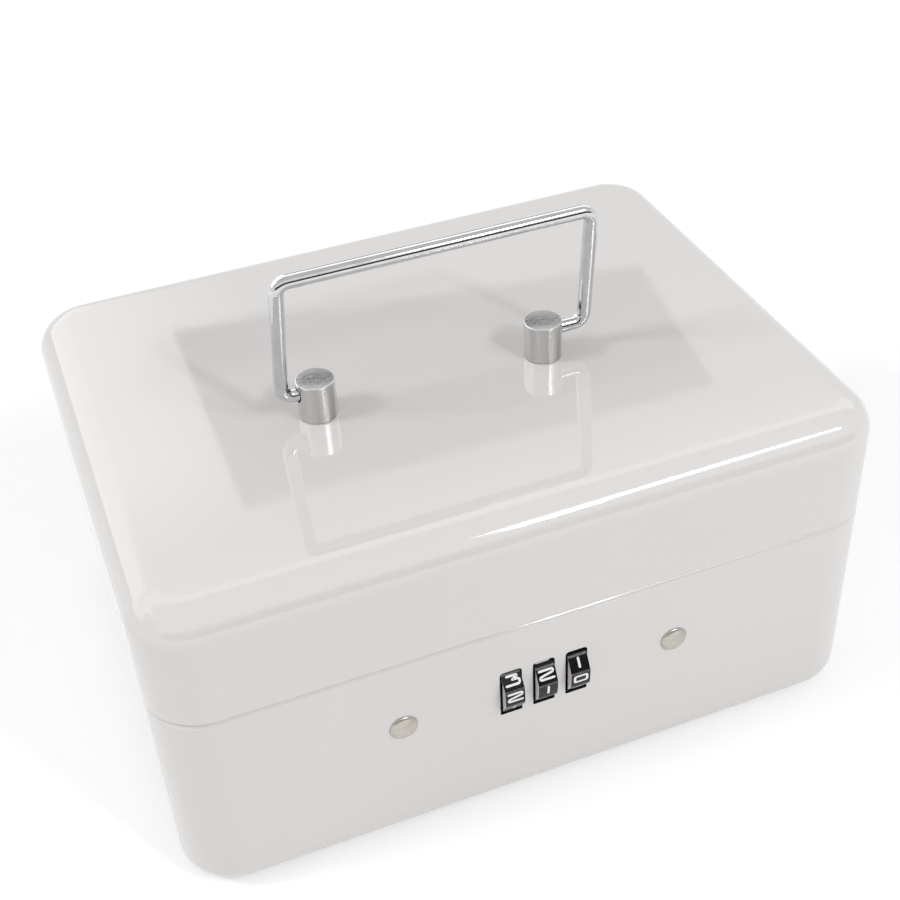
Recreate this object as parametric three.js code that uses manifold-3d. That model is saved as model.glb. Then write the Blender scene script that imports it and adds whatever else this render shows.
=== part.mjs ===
// Small steel lock box with a hinged lid, a wire bail handle and a three-dial combination lock.
// Millimetres. X runs along the front, the front faces -Y, Z is up, and the origin is the
// middle of the underside. The box stands unlocked: the latch is drawn back and the code sleeves
// are pushed over, as they are for a code change, so the lid and every dial are free to move.

import * as THREE from 'three';
import { mergeVertices } from 'three/addons/utils/BufferGeometryUtils.js';
import Module from 'manifold-3d';

const wasm = await Module();
wasm.setup();

// Fits shared by all pieces
const seatGap = 0.05;
const runningGap = 0.3;
const cutOverrun = 1;

// Deep-drawn body and lid
const boxLength = 152;
const boxDepth = 115;
const boxHeight = 76;
const sheet = 0.7;
const cornerRadius = 11.5;
const edgeRadius = 7;
const partingHeight = 50;
const partingGap = 0.3;
const shoulderInnerRadius = 0.5;
const rimHeightShare = 6 / 19;

// Hinges
const hingeEndInset = 31;
const hingeWidth = 24;
const lidKnuckleLength = 10;
const hingePinRadius = 0.8;
const hingePinClearance = 0.2;
const knuckleWall = 0.6;
const hingeAxisDepth = 0.6;
const hingeAxisRise = 0.3;
const rearRelief = 0.6;
const leafThickness = 0.8;
const leafHeightShare = 10 / 16.8;
const hingePinOverhang = 0.4;

// Handle
const handleOffsetX = -3.1;
const handleOffsetY = -9.7;
const postSpacing = 49.4;
const postRadius = 4;
const postHeight = 8.4;
const postEdgeBreak = 0.3;
const pivotHeight = 5.9;
const wireRadius = 1.5;
const wireClearance = 0.3;
const bailWidth = 65.6;
const bailReach = 27.7;
const bailBendRadius = 2.4;
const bailLean = THREE.MathUtils.degToRad(6.2);
const bailLeftLegLean = THREE.MathUtils.degToRad(2.65);
const bailSidePlay = 1.1;
const handleScrewRadius = 1.75;
const tapDepth = 3.6;
const washerRadius = 5;
const washerThickness = 0.8;
const handleScrewHeadRadius = 3.6;
const handleScrewHeadHeight = 2.2;
const driveRecessRadius = 1.2;
const driveRecessWidth = 0.8;

// Dials and their openings in the front wall
const lockHeight = 32.8;
const dialPitch = 7.12;
const dialWidth = 4.2;
const dialRadius = 6.15;
const dialStandOut = 2.5;
const dialEdgeBreak = 0.12;
const dialFaces = 10;
const dialTurns = [21.5, 11.6, 14.5].map(THREE.MathUtils.degToRad);
const slotCornerRadius = 0.8;
const slotSideGap = 0.275;
const slotEndGap = 0.55;

// Axle and code sleeves
const axleRadius = 0.8;
const axleHeadRadius = 1.8;
const axleHeadHeight = 0.8;
const axleTail = 2.4;
const clipRadius = 2;
const clipThickness = 0.6;
const clipGrooveDepth = 0.3;
const clipMouth = 0.9;
const sleeveTravel = 1;
const sleeveTubeRadius = 1.65;
const gateDepth = 0.9;
const gateFloorGap = 0.3;
const gateSlopeShare = 0.9;
const gateEntry = 0.5;
const keyReach = 0.85;
const keyWidth = 0.3;
const keyEntry = 0.7;
const keySlotSideGap = 0.12;
const keySlotsPerFace = 2;

// Lock case, its cover and its fixings
const caseWall = 1;
const caseDialGap = 0.7;
const caseWindowGap = 0.8;
const earHalfHeight = 5;
const rivetSpacing = 59;
const rivetOffsetX = -0.4;
const rivetHeadRadius = 2.9;
const rivetHeadHeight = 0.75;
const rivetShankRadius = 1.5;
const rivetTailRadius = 2.3;
const rivetTailHeight = 0.9;
const rivetEarMargin = 1.2;
const rivetDomeShares = [[0, 1], [0.6, 0.88], [0.88, 0.58], [1, 0.2]];
const coverThickness = 1;
const coverScrewRadius = 1;
const coverScrewHeadRadius = 2;
const coverScrewHeadHeight = 1.3;
const coverScrewLength = 6;
const bossWall = 1;

// Latch lever, striker and springs
const latchRodRadius = 1;
const latchEyeWall = 0.8;
const latchPivotHeight = 5.1;
const latchBackSet = 1.8;
const latchWeb = 1.4;
const toothHalfHeight = 0.6;
const toothSideGap = 0.45;
const latchFootBelowTooth = 0.6;
const latchArmWidth = 10;
const noseWidth = 6;
const noseThickness = 1.4;
const strikerThickness = 1;
const strikerWidth = 13;
const strikerRimGap = 0.8;
const strikerCaseGap = 1.1;
const strikerBar = 2.3;
const strikerFootShare = 2 / 3;
const strikerRise = 1;
const windowSideGap = 0.7;
const springWireRadius = 0.3;
const returnSpringLength = 4;
const returnSpringTurns = 3;
const latchSpringTurns = 4;
const latchSpringLength = 3.2;
const latchSpringLeg = 6;
const latchSpringTail = 1.5;

// Code-change slider and dial spring
const pusherThickness = 1;
const sliderBar = 1;
const sliderBarLow = 5.9;
const sliderBarHigh = 3.1;
const sliderBackSet = 1;
const tabWidth = 3;
const tabHeight = 2;
const tabStandOut = 1.6;
const tabOffset = -2;
const leafSpringThickness = 0.3;
const leafSpringFingerWidth = 3;
const leafSpringFrom = THREE.MathUtils.degToRad(-80);
const leafSpringTo = THREE.MathUtils.degToRad(-35);

// Facets of round shapes
const cornerSteps = 8;
const edgeSteps = 5;
const shoulderSteps = 3;
const roundSides = 24;
const smallRoundSides = 16;
const wireSides = 12;
const bendSteps = 4;
const springSides = 6;
const springStepsPerTurn = 12;
const springLegSteps = 10;

// Places that several pieces share
const frontFace = -boxDepth / 2;
const rearFace = boxDepth / 2;
const shoulderRadius = sheet + shoulderInnerRadius;
const rimInset = sheet + seatGap + leafThickness + runningGap;
const lidWallTop = boxHeight - edgeRadius;
const rimTop = partingHeight + (lidWallTop - partingHeight) * rimHeightShare;
const lidEdge = partingHeight + partingGap;
const hingeAxisY = rearFace - hingeAxisDepth;
const hingeAxisZ = partingHeight + hingeAxisRise;
const hingeX = boxLength / 2 - hingeEndInset;
const knuckleBoreRadius = hingePinRadius + hingePinClearance;
const knuckleRadius = knuckleBoreRadius + knuckleWall;
const knuckleRoom = knuckleRadius + runningGap;
const leafHeight = (lidWallTop - hingeAxisZ - knuckleRoom) * leafHeightShare;
const dialAxisDepth = dialRadius - dialStandOut;
const dialXs = [-dialPitch, 0, dialPitch];
const sideNames = ['left', 'right'];
const dialNames = ['left', 'middle', 'right'];

// Places inside the lock, measured from the dial axis, Y to the rear
const wallBack = sheet - dialAxisDepth;
const flangeRadius = -wallBack - runningGap;
const caseFront = wallBack + seatGap;
const caseInnerHeight = dialRadius + caseDialGap;
const caseOuterHeight = caseInnerHeight + caseWall;
const flangeThickness = dialPitch - dialWidth - sleeveTravel - 2 * runningGap;
const dialBoreRadius = sleeveTubeRadius + runningGap;
const sleeveTail = dialWidth / 2 + sleeveTravel;
const flangeStart = dialWidth / 2 + runningGap;
const flangeEnd = flangeStart + flangeThickness;
const pusherRight = -dialPitch - dialWidth / 2 - runningGap;
const pusherLeft = pusherRight - pusherThickness;
const cheekLeft = pusherLeft - sleeveTravel - runningGap;
const springLeft = dialPitch + flangeEnd + sleeveTravel + runningGap;
const cheekRight = springLeft + returnSpringLength + runningGap;
const latchY = dialRadius + latchBackSet;
const latchZ = latchPivotHeight;
const latchSwing = (gateEntry + runningGap) / latchPivotHeight;
const latchFoot = toothHalfHeight + latchFootBelowTooth;
const latchLeft = -dialPitch - dialWidth / 2 + runningGap;
const latchRight = dialPitch + flangeEnd + sleeveTravel + runningGap;
const latchWebFront = latchY - latchWeb / 2;
const latchWebBack = latchY + latchWeb / 2;
const coverFront = latchWebBack + (latchPivotHeight + latchFoot) * latchSwing + 2 * runningGap;
const coverBack = coverFront + seatGap + coverThickness;
const caseTopBack = latchWebFront - (caseOuterHeight - latchZ) * latchSwing - runningGap;
const strikerFront = rimInset + sheet + strikerRimGap - dialAxisDepth;
const strikerBack = strikerFront + strikerThickness;
const strikerEnd = caseOuterHeight + strikerCaseGap;
const windowLow = strikerEnd + strikerBar;
const noseTip = strikerBack + runningGap;
const noseLow = windowLow + runningGap + (latchY - noseTip) * latchSwing;
const noseHigh = noseLow + noseThickness;
const bossRadius = coverScrewRadius + runningGap + bossWall;
const bossXs = [cheekLeft - caseWall - bossRadius / 2, cheekRight + caseWall + bossRadius / 2];
const axisGroupY = frontFace + dialAxisDepth;

// Solids

function solidOf(geometry) {
  geometry.deleteAttribute('normal');
  geometry.deleteAttribute('uv');
  const merged = mergeVertices(geometry);
  return new wasm.Manifold(new wasm.Mesh({
    numProp: 3,
    vertProperties: new Float32Array(merged.attributes.position.array),
    triVerts: new Uint32Array(merged.index.array),
  }));
}

function geometryOf(solid) {
  const mesh = solid.getMesh();
  const geometry = new THREE.BufferGeometry();
  geometry.setAttribute('position', new THREE.BufferAttribute(mesh.vertProperties, 3));
  geometry.setIndex(new THREE.BufferAttribute(mesh.triVerts, 1));
  return geometry;
}

// A block between two limits on each axis
function block([x0, x1], [y0, y1], [z0, z1]) {
  const geometry = new THREE.BoxGeometry(x1 - x0, y1 - y0, z1 - z0);
  geometry.translate((x0 + x1) / 2, (y0 + y1) / 2, (z0 + z1) / 2);
  return solidOf(geometry);
}

// Turns a geometry built along Y so that its length runs along another axis
function alongAxis(geometry, axis) {
  if (axis === 'x') geometry.rotateZ(-Math.PI / 2);
  if (axis === 'z') geometry.rotateX(Math.PI / 2);
  return geometry;
}

// A round bar between two stations on an axis
function rod(axis, radius, [from, to], centre = [0, 0, 0], sides = smallRoundSides) {
  const geometry = new THREE.CylinderGeometry(radius, radius, to - from, sides);
  geometry.translate(0, (from + to) / 2, 0);
  return solidOf(alongAxis(geometry, axis).translate(...centre));
}

// A turned piece from [radius, station] pairs that start and end on the axis or close on themselves
function turned(axis, profile, sides = roundSides) {
  const points = profile.map(([radius, station]) => new THREE.Vector2(radius, station));
  return solidOf(alongAxis(new THREE.LatheGeometry(points, sides), axis));
}

// An outline in Y and Z, drawn out along X
function prismAlongX(shape, [from, to], curveSegments = smallRoundSides) {
  const depth = to - from;
  const geometry = new THREE.ExtrudeGeometry(shape, { depth, bevelEnabled: false, curveSegments });
  geometry.translate(0, 0, from);
  const axes = [new THREE.Vector3(0, 1, 0), new THREE.Vector3(0, 0, 1), new THREE.Vector3(1, 0, 0)];
  return solidOf(geometry.applyMatrix4(new THREE.Matrix4().makeBasis(...axes)));
}

// Joins a stack of convex outlines with equal point counts into one closed solid
function loft(outlines) {
  const count = outlines[0].length;
  const positions = outlines.flat().flatMap((point) => point.toArray());
  const index = [];
  for (let level = 0; level + 1 < outlines.length; level += 1) {
    for (let i = 0; i < count; i += 1) {
      const a = level * count + i;
      const b = level * count + ((i + 1) % count);
      index.push(a, b, b + count, a, b + count, a + count);
    }
  }
  const last = (outlines.length - 1) * count;
  for (let i = 1; i + 1 < count; i += 1) {
    index.push(0, i + 1, i);
    index.push(last, last + i, last + i + 1);
  }
  const geometry = new THREE.BufferGeometry();
  geometry.setAttribute('position', new THREE.Float32BufferAttribute(positions, 3));
  geometry.setIndex(index);
  return solidOf(geometry);
}

// The box outline at a height, drawn in by an inset all round
function boxOutline([inset, z]) {
  const radius = cornerRadius - inset;
  const halfLength = boxLength / 2 - cornerRadius;
  const halfDepth = boxDepth / 2 - cornerRadius;
  const corners = [[1, 1], [-1, 1], [-1, -1], [1, -1]];
  return corners.flatMap(([sx, sy], corner) => {
    const points = [];
    for (let i = 0; i <= cornerSteps; i += 1) {
      const angle = (corner + i / cornerSteps) * Math.PI / 2;
      const x = sx * halfLength + radius * Math.cos(angle);
      const y = sy * halfDepth + radius * Math.sin(angle);
      points.push(new THREE.Vector3(x, y, z));
    }
    return points;
  });
}

// Quarter round in [inset, z] pairs about a centre, from one angle to another
function quarter([centreInset, centreZ], radius, from, to, steps) {
  const points = [];
  for (let i = 0; i <= steps; i += 1) {
    const angle = from + (to - from) * i / steps;
    points.push([centreInset - radius * Math.cos(angle), centreZ + radius * Math.sin(angle)]);
  }
  return points;
}

function roundedRectangle(width, height, radius) {
  const w = width / 2 - radius;
  const h = height / 2 - radius;
  const shape = new THREE.Shape();
  shape.absarc(w, h, radius, 0, Math.PI / 2);
  shape.absarc(-w, h, radius, Math.PI / 2, Math.PI);
  shape.absarc(-w, -h, radius, Math.PI, Math.PI * 1.5);
  shape.absarc(w, -h, radius, Math.PI * 1.5, Math.PI * 2);
  return shape;
}

// A wire of round section through points, with a ring of points at each station
function wire(curve, steps, radius, sides) {
  const section = new THREE.Shape();
  for (let i = 0; i < sides; i += 1) {
    const angle = i / sides * Math.PI * 2;
    const place = [radius * Math.cos(angle), radius * Math.sin(angle)];
    if (i === 0) section.moveTo(...place);
    else section.lineTo(...place);
  }
  return solidOf(new THREE.ExtrudeGeometry(section, { steps, extrudePath: curve, curveSegments: 1 }));
}

// Finishes

const finishes = {
  paint: { color: 0xdedcda, roughness: 0.3, metalness: 0 },
  chrome: { color: 0xc8c8c8, roughness: 0.18, metalness: 1 },
  nickel: { color: 0xb9b2a8, roughness: 0.35, metalness: 1 },
  zinc: { color: 0xa9acae, roughness: 0.45, metalness: 1 },
  steel: { color: 0x8f9194, roughness: 0.4, metalness: 1 },
  blackPlastic: { color: 0x141416, roughness: 0.25, metalness: 0 },
  castZinc: { color: 0x9a9c9d, roughness: 0.55, metalness: 1 },
};

function piece(name, solid, finish, place = [0, 0, 0]) {
  const mesh = new THREE.Mesh(geometryOf(solid), new THREE.MeshStandardMaterial(finishes[finish]));
  mesh.name = name;
  mesh.position.set(...place);
  return mesh;
}

// Body and lid

const slotWidth = dialWidth + 2 * slotSideGap;
const slotHalfHeight = Math.sqrt(dialRadius ** 2 - (dialAxisDepth - sheet) ** 2) + slotEndGap;

function dialSlot(x) {
  const shape = roundedRectangle(slotWidth, 2 * slotHalfHeight, slotCornerRadius);
  const depth = sheet + 2 * cutOverrun;
  const settings = { depth, bevelEnabled: false, curveSegments: shoulderSteps };
  const geometry = new THREE.ExtrudeGeometry(shape, settings);
  geometry.rotateX(Math.PI / 2);
  geometry.translate(x, frontFace + sheet + cutOverrun, lockHeight);
  return solidOf(geometry);
}

function rivetX(side) {
  return rivetOffsetX + side * rivetSpacing / 2;
}

function rivetHole(side, ends, lockZ) {
  return rod('y', rivetShankRadius + runningGap, ends, [rivetX(side), 0, lockZ]);
}

// Room for one hinge's knuckles, cut from the body and the lid
function hingeNotch(x) {
  const halfWidth = hingeWidth / 2 + hingePinOverhang + runningGap;
  return block(
    [x - halfWidth, x + halfWidth],
    [rearFace - rimInset - sheet - runningGap, rearFace + cutOverrun],
    [hingeAxisZ - knuckleRoom, hingeAxisZ + knuckleRoom],
  );
}

function bodyShell() {
  const drop = partingHeight - shoulderRadius;
  const profile = [
    ...quarter([edgeRadius, edgeRadius], edgeRadius, -Math.PI / 2, 0, edgeSteps),
    ...quarter([shoulderRadius, drop], shoulderRadius, 0, Math.PI / 2, shoulderSteps),
    [rimInset, partingHeight],
    [rimInset, rimTop],
    [rimInset + sheet, rimTop],
    [rimInset + sheet, partingHeight - sheet],
    ...quarter([shoulderRadius, drop], shoulderInnerRadius, Math.PI / 2, 0, shoulderSteps),
    ...quarter([edgeRadius, edgeRadius], edgeRadius - sheet, 0, -Math.PI / 2, edgeSteps),
  ];
  let solid = loft(profile.map(boxOutline));
  for (const x of dialXs) solid = solid.subtract(dialSlot(x));
  for (const side of [-1, 1]) {
    const wall = [frontFace - cutOverrun, frontFace + sheet + cutOverrun];
    solid = solid.subtract(rivetHole(side, wall, lockHeight));
    solid = solid.subtract(hingeNotch(side * hingeX));
  }
  return piece('body_shell', solid, 'paint');
}

function lidShell() {
  const profile = [
    ...quarter([edgeRadius, lidWallTop], edgeRadius - sheet, Math.PI / 2, 0, edgeSteps),
    [sheet, lidEdge],
    [0, lidEdge],
    ...quarter([edgeRadius, lidWallTop], edgeRadius, 0, Math.PI / 2, edgeSteps),
  ];
  let solid = loft(profile.map(boxOutline));
  solid = solid.subtract(block(
    [-boxLength / 2, boxLength / 2],
    [rearFace - sheet - runningGap / 2, rearFace + cutOverrun],
    [lidEdge - cutOverrun, hingeAxisZ + rearRelief],
  ));
  for (const side of [-1, 1]) {
    const hole = [boxHeight - sheet - cutOverrun, boxHeight + cutOverrun];
    const centre = [handleOffsetX + side * postSpacing / 2, handleOffsetY, 0];
    solid = solid.subtract(rod('z', handleScrewRadius + runningGap, hole, centre));
    solid = solid.subtract(hingeNotch(side * hingeX));
  }
  return piece('lid_shell', solid, 'paint');
}

// Handle, measured from the top of the lid

function handlePost(name, side) {
  let solid = turned('z', [
    [0, seatGap],
    [postRadius, seatGap],
    [postRadius, postHeight - postEdgeBreak],
    [postRadius - postEdgeBreak, postHeight],
    [0, postHeight],
  ]);
  const boreEnds = [-(bailSidePlay + 2 * runningGap + wireRadius / 2), postRadius + cutOverrun];
  const bore = rod('x', wireRadius + wireClearance, boreEnds, [0, 0, pivotHeight]);
  const tap = rod('z', handleScrewRadius + runningGap, [-cutOverrun, tapDepth]);
  solid = solid.subtract(side < 0 ? bore.mirror([1, 0, 0]) : bore).subtract(tap);
  return piece(name, solid, 'chrome', [side * postSpacing / 2, 0, 0]);
}

function handleBail() {
  const halfWidth = bailWidth / 2;
  const inner = postSpacing / 2;
  const up = new THREE.Vector3(0, -Math.sin(bailLean), Math.cos(bailLean));
  const across = new THREE.Vector3(1, 0, 0);
  const normal = new THREE.Vector3().crossVectors(up, across);
  const start = new THREE.Vector3(bailSidePlay, 0, pivotHeight);
  const rings = [];
  // One ring of wire where the bail is at (x, height) and runs at an angle in its own plane
  function ring(x, height, angle) {
    const centre = start.clone().addScaledVector(across, x).addScaledVector(up, height);
    const side = across.clone().multiplyScalar(-Math.sin(angle)).addScaledVector(up, Math.cos(angle));
    const points = [];
    for (let i = 0; i < wireSides; i += 1) {
      const turn = i / wireSides * Math.PI * 2;
      const point = centre.clone().addScaledVector(side, wireRadius * Math.cos(turn));
      points.push(point.addScaledVector(normal, -wireRadius * Math.sin(turn)));
    }
    rings.push(points);
  }
  // A bend about a centre, from one travel direction to the next
  function bend(centreX, centreHeight, from, to) {
    const outward = Math.sign(from - to) * Math.PI / 2;
    for (let i = 0; i <= bendSteps; i += 1) {
      const angle = from + (to - from) * i / bendSteps;
      const x = centreX + bailBendRadius * Math.cos(angle + outward);
      const height = centreHeight + bailBendRadius * Math.sin(angle + outward);
      ring(x, height, angle);
    }
  }
  const low = bailBendRadius;
  const high = bailReach - bailBendRadius;
  const far = halfWidth - bailBendRadius;
  // The left leg leans in towards its top
  const leftLeg = Math.PI / 2 - bailLeftLegLean;
  const drawnIn = (high - low) * Math.tan(bailLeftLegLean);
  ring(-inner, 0, Math.PI);
  bend(-far, low, Math.PI, leftLeg);
  bend(drawnIn - far, high, leftLeg, 0);
  bend(far, high, 0, -Math.PI / 2);
  bend(far, low, -Math.PI / 2, -Math.PI);
  ring(inner, 0, -Math.PI);
  return piece('handle_bail', loft(rings), 'chrome');
}

function handleFixing(side) {
  const name = sideNames[(side + 1) / 2];
  const underLid = -sheet - seatGap;
  const underWasher = underLid - washerThickness - seatGap;
  const washer = turned('z', [
    [handleScrewRadius + runningGap, underLid],
    [handleScrewRadius + runningGap, underLid - washerThickness],
    [washerRadius, underLid - washerThickness],
    [washerRadius, underLid],
    [handleScrewRadius + runningGap, underLid],
  ]);
  const headBottom = underWasher - handleScrewHeadHeight;
  const screw = turned('z', [
    [0, headBottom],
    [handleScrewHeadRadius - handleScrewHeadHeight / 2, headBottom],
    [handleScrewHeadRadius, headBottom + handleScrewHeadHeight / 2],
    [handleScrewHeadRadius, underWasher],
    [handleScrewRadius, underWasher],
    [handleScrewRadius, tapDepth - runningGap],
    [0, tapDepth - runningGap],
  ]).subtract(crossRecess(headBottom - cutOverrun, headBottom + handleScrewHeadHeight / 2));
  const place = [side * postSpacing / 2, 0, 0];
  return [
    piece(`handle_washer_${name}`, washer, 'zinc', place),
    piece(`handle_screw_${name}`, screw, 'zinc', place),
  ];
}

// Cross-shaped driver recess between two heights
function crossRecess(from, to) {
  const arm = driveRecessWidth / 2;
  return block([-driveRecessRadius, driveRecessRadius], [-arm, arm], [from, to])
    .add(block([-arm, arm], [-driveRecessRadius, driveRecessRadius], [from, to]));
}

// Hinges, measured from the hinge axis

// A leaf with its knuckles: direction is 1 for the leaf that goes up into the lid
function hingeLeaf(name, direction, knuckles) {
  const plateBack = hingeAxisDepth - sheet - seatGap;
  const plateY = [plateBack - leafThickness, plateBack];
  const halfWidth = hingeWidth / 2;
  const span = (near, far) => (direction > 0 ? [near, far] : [-far, -near]);
  const inWall = knuckleBoreRadius + knuckleWall / 3;
  let solid = block([-halfWidth, halfWidth], plateY, span(knuckleRoom, knuckleRoom + leafHeight));
  for (const ends of knuckles) {
    solid = solid.add(block(ends, plateY, span(inWall, knuckleRoom + runningGap)));
    solid = solid.add(rod('x', knuckleRadius, ends));
  }
  solid = solid.subtract(rod('x', knuckleBoreRadius, [-hingeWidth, hingeWidth]));
  return piece(name, solid, 'zinc');
}

function hinge(side) {
  const name = sideNames[(side + 1) / 2];
  const half = hingeWidth / 2;
  const inner = lidKnuckleLength / 2;
  const group = new THREE.Group();
  group.position.set(side * hingeX, hingeAxisY, hingeAxisZ);
  const pin = rod('x', hingePinRadius, [-half - hingePinOverhang, half + hingePinOverhang]);
  group.add(
    hingeLeaf(`hinge_body_leaf_${name}`, -1, [[-half, -inner - runningGap], [inner + runningGap, half]]),
    hingeLeaf(`hinge_lid_leaf_${name}`, 1, [[-inner, inner]]),
    piece(`hinge_pin_${name}`, pin, 'steel'),
  );
  return group;
}

// Lock, measured from the dial axis

// A ten-sided outline about the dial axis
function dialOutline(radius, x, turn) {
  const points = [];
  for (let i = 0; i < dialFaces; i += 1) {
    const angle = turn + i / dialFaces * Math.PI * 2;
    points.push(new THREE.Vector3(x, radius * Math.cos(angle), radius * Math.sin(angle)));
  }
  return points;
}

// The ridge nearest the front stands above the axis by the dial's turn
function dial(index) {
  const turn = Math.PI - dialTurns[index];
  const half = dialWidth / 2;
  let solid = loft([
    dialOutline(dialRadius - dialEdgeBreak, -half, turn),
    dialOutline(dialRadius, dialEdgeBreak - half, turn),
    dialOutline(dialRadius, half - dialEdgeBreak, turn),
    dialOutline(dialRadius - dialEdgeBreak, half, turn),
  ]);
  solid = solid.subtract(rod('x', dialBoreRadius, [-dialWidth, dialWidth], [0, 0, 0], roundSides));
  const slotHalf = keyWidth / 2 + keySlotSideGap;
  const slot = block(
    [half - keyEntry - runningGap, half + cutOverrun],
    [0, sleeveTubeRadius + keyReach + runningGap],
    [-slotHalf, slotHalf],
  );
  const slots = dialFaces * keySlotsPerFace;
  for (let i = 0; i < slots; i += 1) {
    const degrees = THREE.MathUtils.radToDeg(turn + i / slots * Math.PI * 2);
    solid = solid.subtract(slot.rotate([degrees, 0, 0]));
  }
  return piece(`dial_${dialNames[index]}`, solid, 'blackPlastic', [dialXs[index], 0, 0]);
}

// A sleeve carries the dial, and its flange has the gate for one latch tooth
function codeSleeve(index) {
  const bore = axleRadius + runningGap;
  let solid = turned('x', [
    [bore, -sleeveTail],
    [sleeveTubeRadius, -sleeveTail],
    [sleeveTubeRadius, flangeStart],
    [flangeRadius, flangeStart],
    [flangeRadius, flangeEnd],
    [bore, flangeEnd],
    [bore, -sleeveTail],
  ]);
  const key = block(
    [dialWidth / 2 - keyEntry, flangeEnd],
    [sleeveTubeRadius - keyWidth, sleeveTubeRadius + keyReach],
    [-keyWidth / 2, keyWidth / 2],
  );
  const turn = THREE.MathUtils.radToDeg(Math.PI - dialTurns[index]);
  const keyStep = 360 / dialFaces;
  solid = solid.add(key.rotate([turn - 2 * keyStep, 0, 0]));
  // The gate's sides slope, so a dial turned off its number lifts the tooth out
  const floorHalf = toothHalfHeight + gateFloorGap;
  const mouthHalf = floorHalf + (gateDepth + cutOverrun) * gateSlopeShare;
  const gate = new THREE.Shape([
    new THREE.Vector2(flangeRadius - gateDepth, -floorHalf),
    new THREE.Vector2(flangeRadius + cutOverrun, -mouthHalf),
    new THREE.Vector2(flangeRadius + cutOverrun, mouthHalf),
    new THREE.Vector2(flangeRadius - gateDepth, floorHalf),
  ]);
  solid = solid.subtract(prismAlongX(gate, [flangeStart - cutOverrun, flangeEnd + cutOverrun]));
  return piece(`code_sleeve_${dialNames[index]}`, solid, 'zinc', [dialXs[index] + sleeveTravel, 0, 0]);
}

function dialAxle() {
  const headInner = cheekLeft - caseWall - seatGap;
  const grooveStart = cheekRight + caseWall + runningGap / 2;
  const grooveEnd = grooveStart + clipThickness + runningGap / 2;
  const solid = turned('x', [
    [0, headInner - axleHeadHeight],
    [axleHeadRadius, headInner - axleHeadHeight],
    [axleHeadRadius, headInner],
    [axleRadius, headInner],
    [axleRadius, grooveStart],
    [axleRadius - clipGrooveDepth, grooveStart],
    [axleRadius - clipGrooveDepth, grooveEnd],
    [axleRadius, grooveEnd],
    [axleRadius, cheekRight + axleTail],
    [0, cheekRight + axleTail],
  ], smallRoundSides);
  const clipStart = grooveStart + runningGap / 4;
  const clipInner = axleRadius - clipGrooveDepth + runningGap / 2;
  const clip = rod('x', clipRadius, [clipStart, clipStart + clipThickness])
    .subtract(rod('x', clipInner, [clipStart - cutOverrun, clipStart + clipThickness + cutOverrun]))
    .subtract(block(
      [clipStart - cutOverrun, clipStart + clipThickness + cutOverrun],
      [-clipMouth / 2, clipMouth / 2],
      [-clipRadius - cutOverrun, 0],
    ));
  return [piece('dial_axle', solid, 'steel'), piece('axle_clip', clip, 'steel')];
}

function lockCase() {
  const front = [caseFront, caseFront + caseWall];
  const outer = [-caseOuterHeight, caseOuterHeight];
  const width = [cheekLeft - caseWall, cheekRight + caseWall];
  const earMargin = rivetTailRadius + rivetEarMargin;
  const ears = [rivetX(-1) - earMargin, rivetX(1) + earMargin];
  const windowX = [-dialPitch - dialWidth / 2 - caseWindowGap, springLeft];
  const windowHeight = Math.sqrt(dialRadius ** 2 - (caseFront + caseWall) ** 2) + caseWindowGap;
  let solid = block(width, front, outer)
    .add(block(ears, front, [-earHalfHeight, earHalfHeight]))
    .add(block([width[0], cheekLeft], [caseFront, coverFront], outer))
    .add(block([cheekRight, width[1]], [caseFront, coverFront], outer))
    .add(block(width, [caseFront, caseTopBack], [caseInnerHeight, caseOuterHeight]))
    .add(block(width, [caseFront, coverFront], [-caseOuterHeight, -caseInnerHeight]));
  for (const x of bossXs) solid = solid.add(rod('y', bossRadius, [caseFront, coverFront], [x, 0, 0]));
  for (const x of bossXs) {
    const hole = [coverFront - coverScrewLength, coverFront + cutOverrun];
    solid = solid.subtract(rod('y', coverScrewRadius + runningGap, hole, [x, 0, 0]));
  }
  solid = solid.subtract(block(
    windowX,
    [caseFront - cutOverrun, caseFront + caseWall + cutOverrun],
    [-windowHeight, windowHeight],
  ));
  for (const side of [-1, 1]) {
    const through = [caseFront - cutOverrun, caseFront + caseWall + cutOverrun];
    solid = solid.subtract(rivetHole(side, through, 0));
  }
  const cheeks = [width[0] - cutOverrun, width[1] + cutOverrun];
  const cheekHoles = [[axleRadius, 0, 0], [latchRodRadius, latchY, latchZ]];
  for (const [radius, y, z] of cheekHoles) {
    for (const ends of [[cheeks[0], cheekLeft + cutOverrun], [cheekRight - cutOverrun, cheeks[1]]]) {
      solid = solid.subtract(rod('x', radius + runningGap / 2, ends, [0, y, z]));
    }
  }
  // Room for the axle head and the clip where the cover bosses stand
  const headRoom = Math.max(axleHeadRadius, clipRadius) + runningGap;
  const leftRoom = [bossXs[0] - bossRadius - cutOverrun, cheekLeft - caseWall];
  const rightRoom = [cheekRight + caseWall, bossXs[1] + bossRadius + cutOverrun];
  solid = solid.subtract(block(leftRoom, [-headRoom, headRoom], [-headRoom, headRoom]));
  solid = solid.subtract(block(rightRoom, [-headRoom, headRoom], [-headRoom, headRoom]));
  return piece('lock_case', solid, 'castZinc');
}

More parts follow.
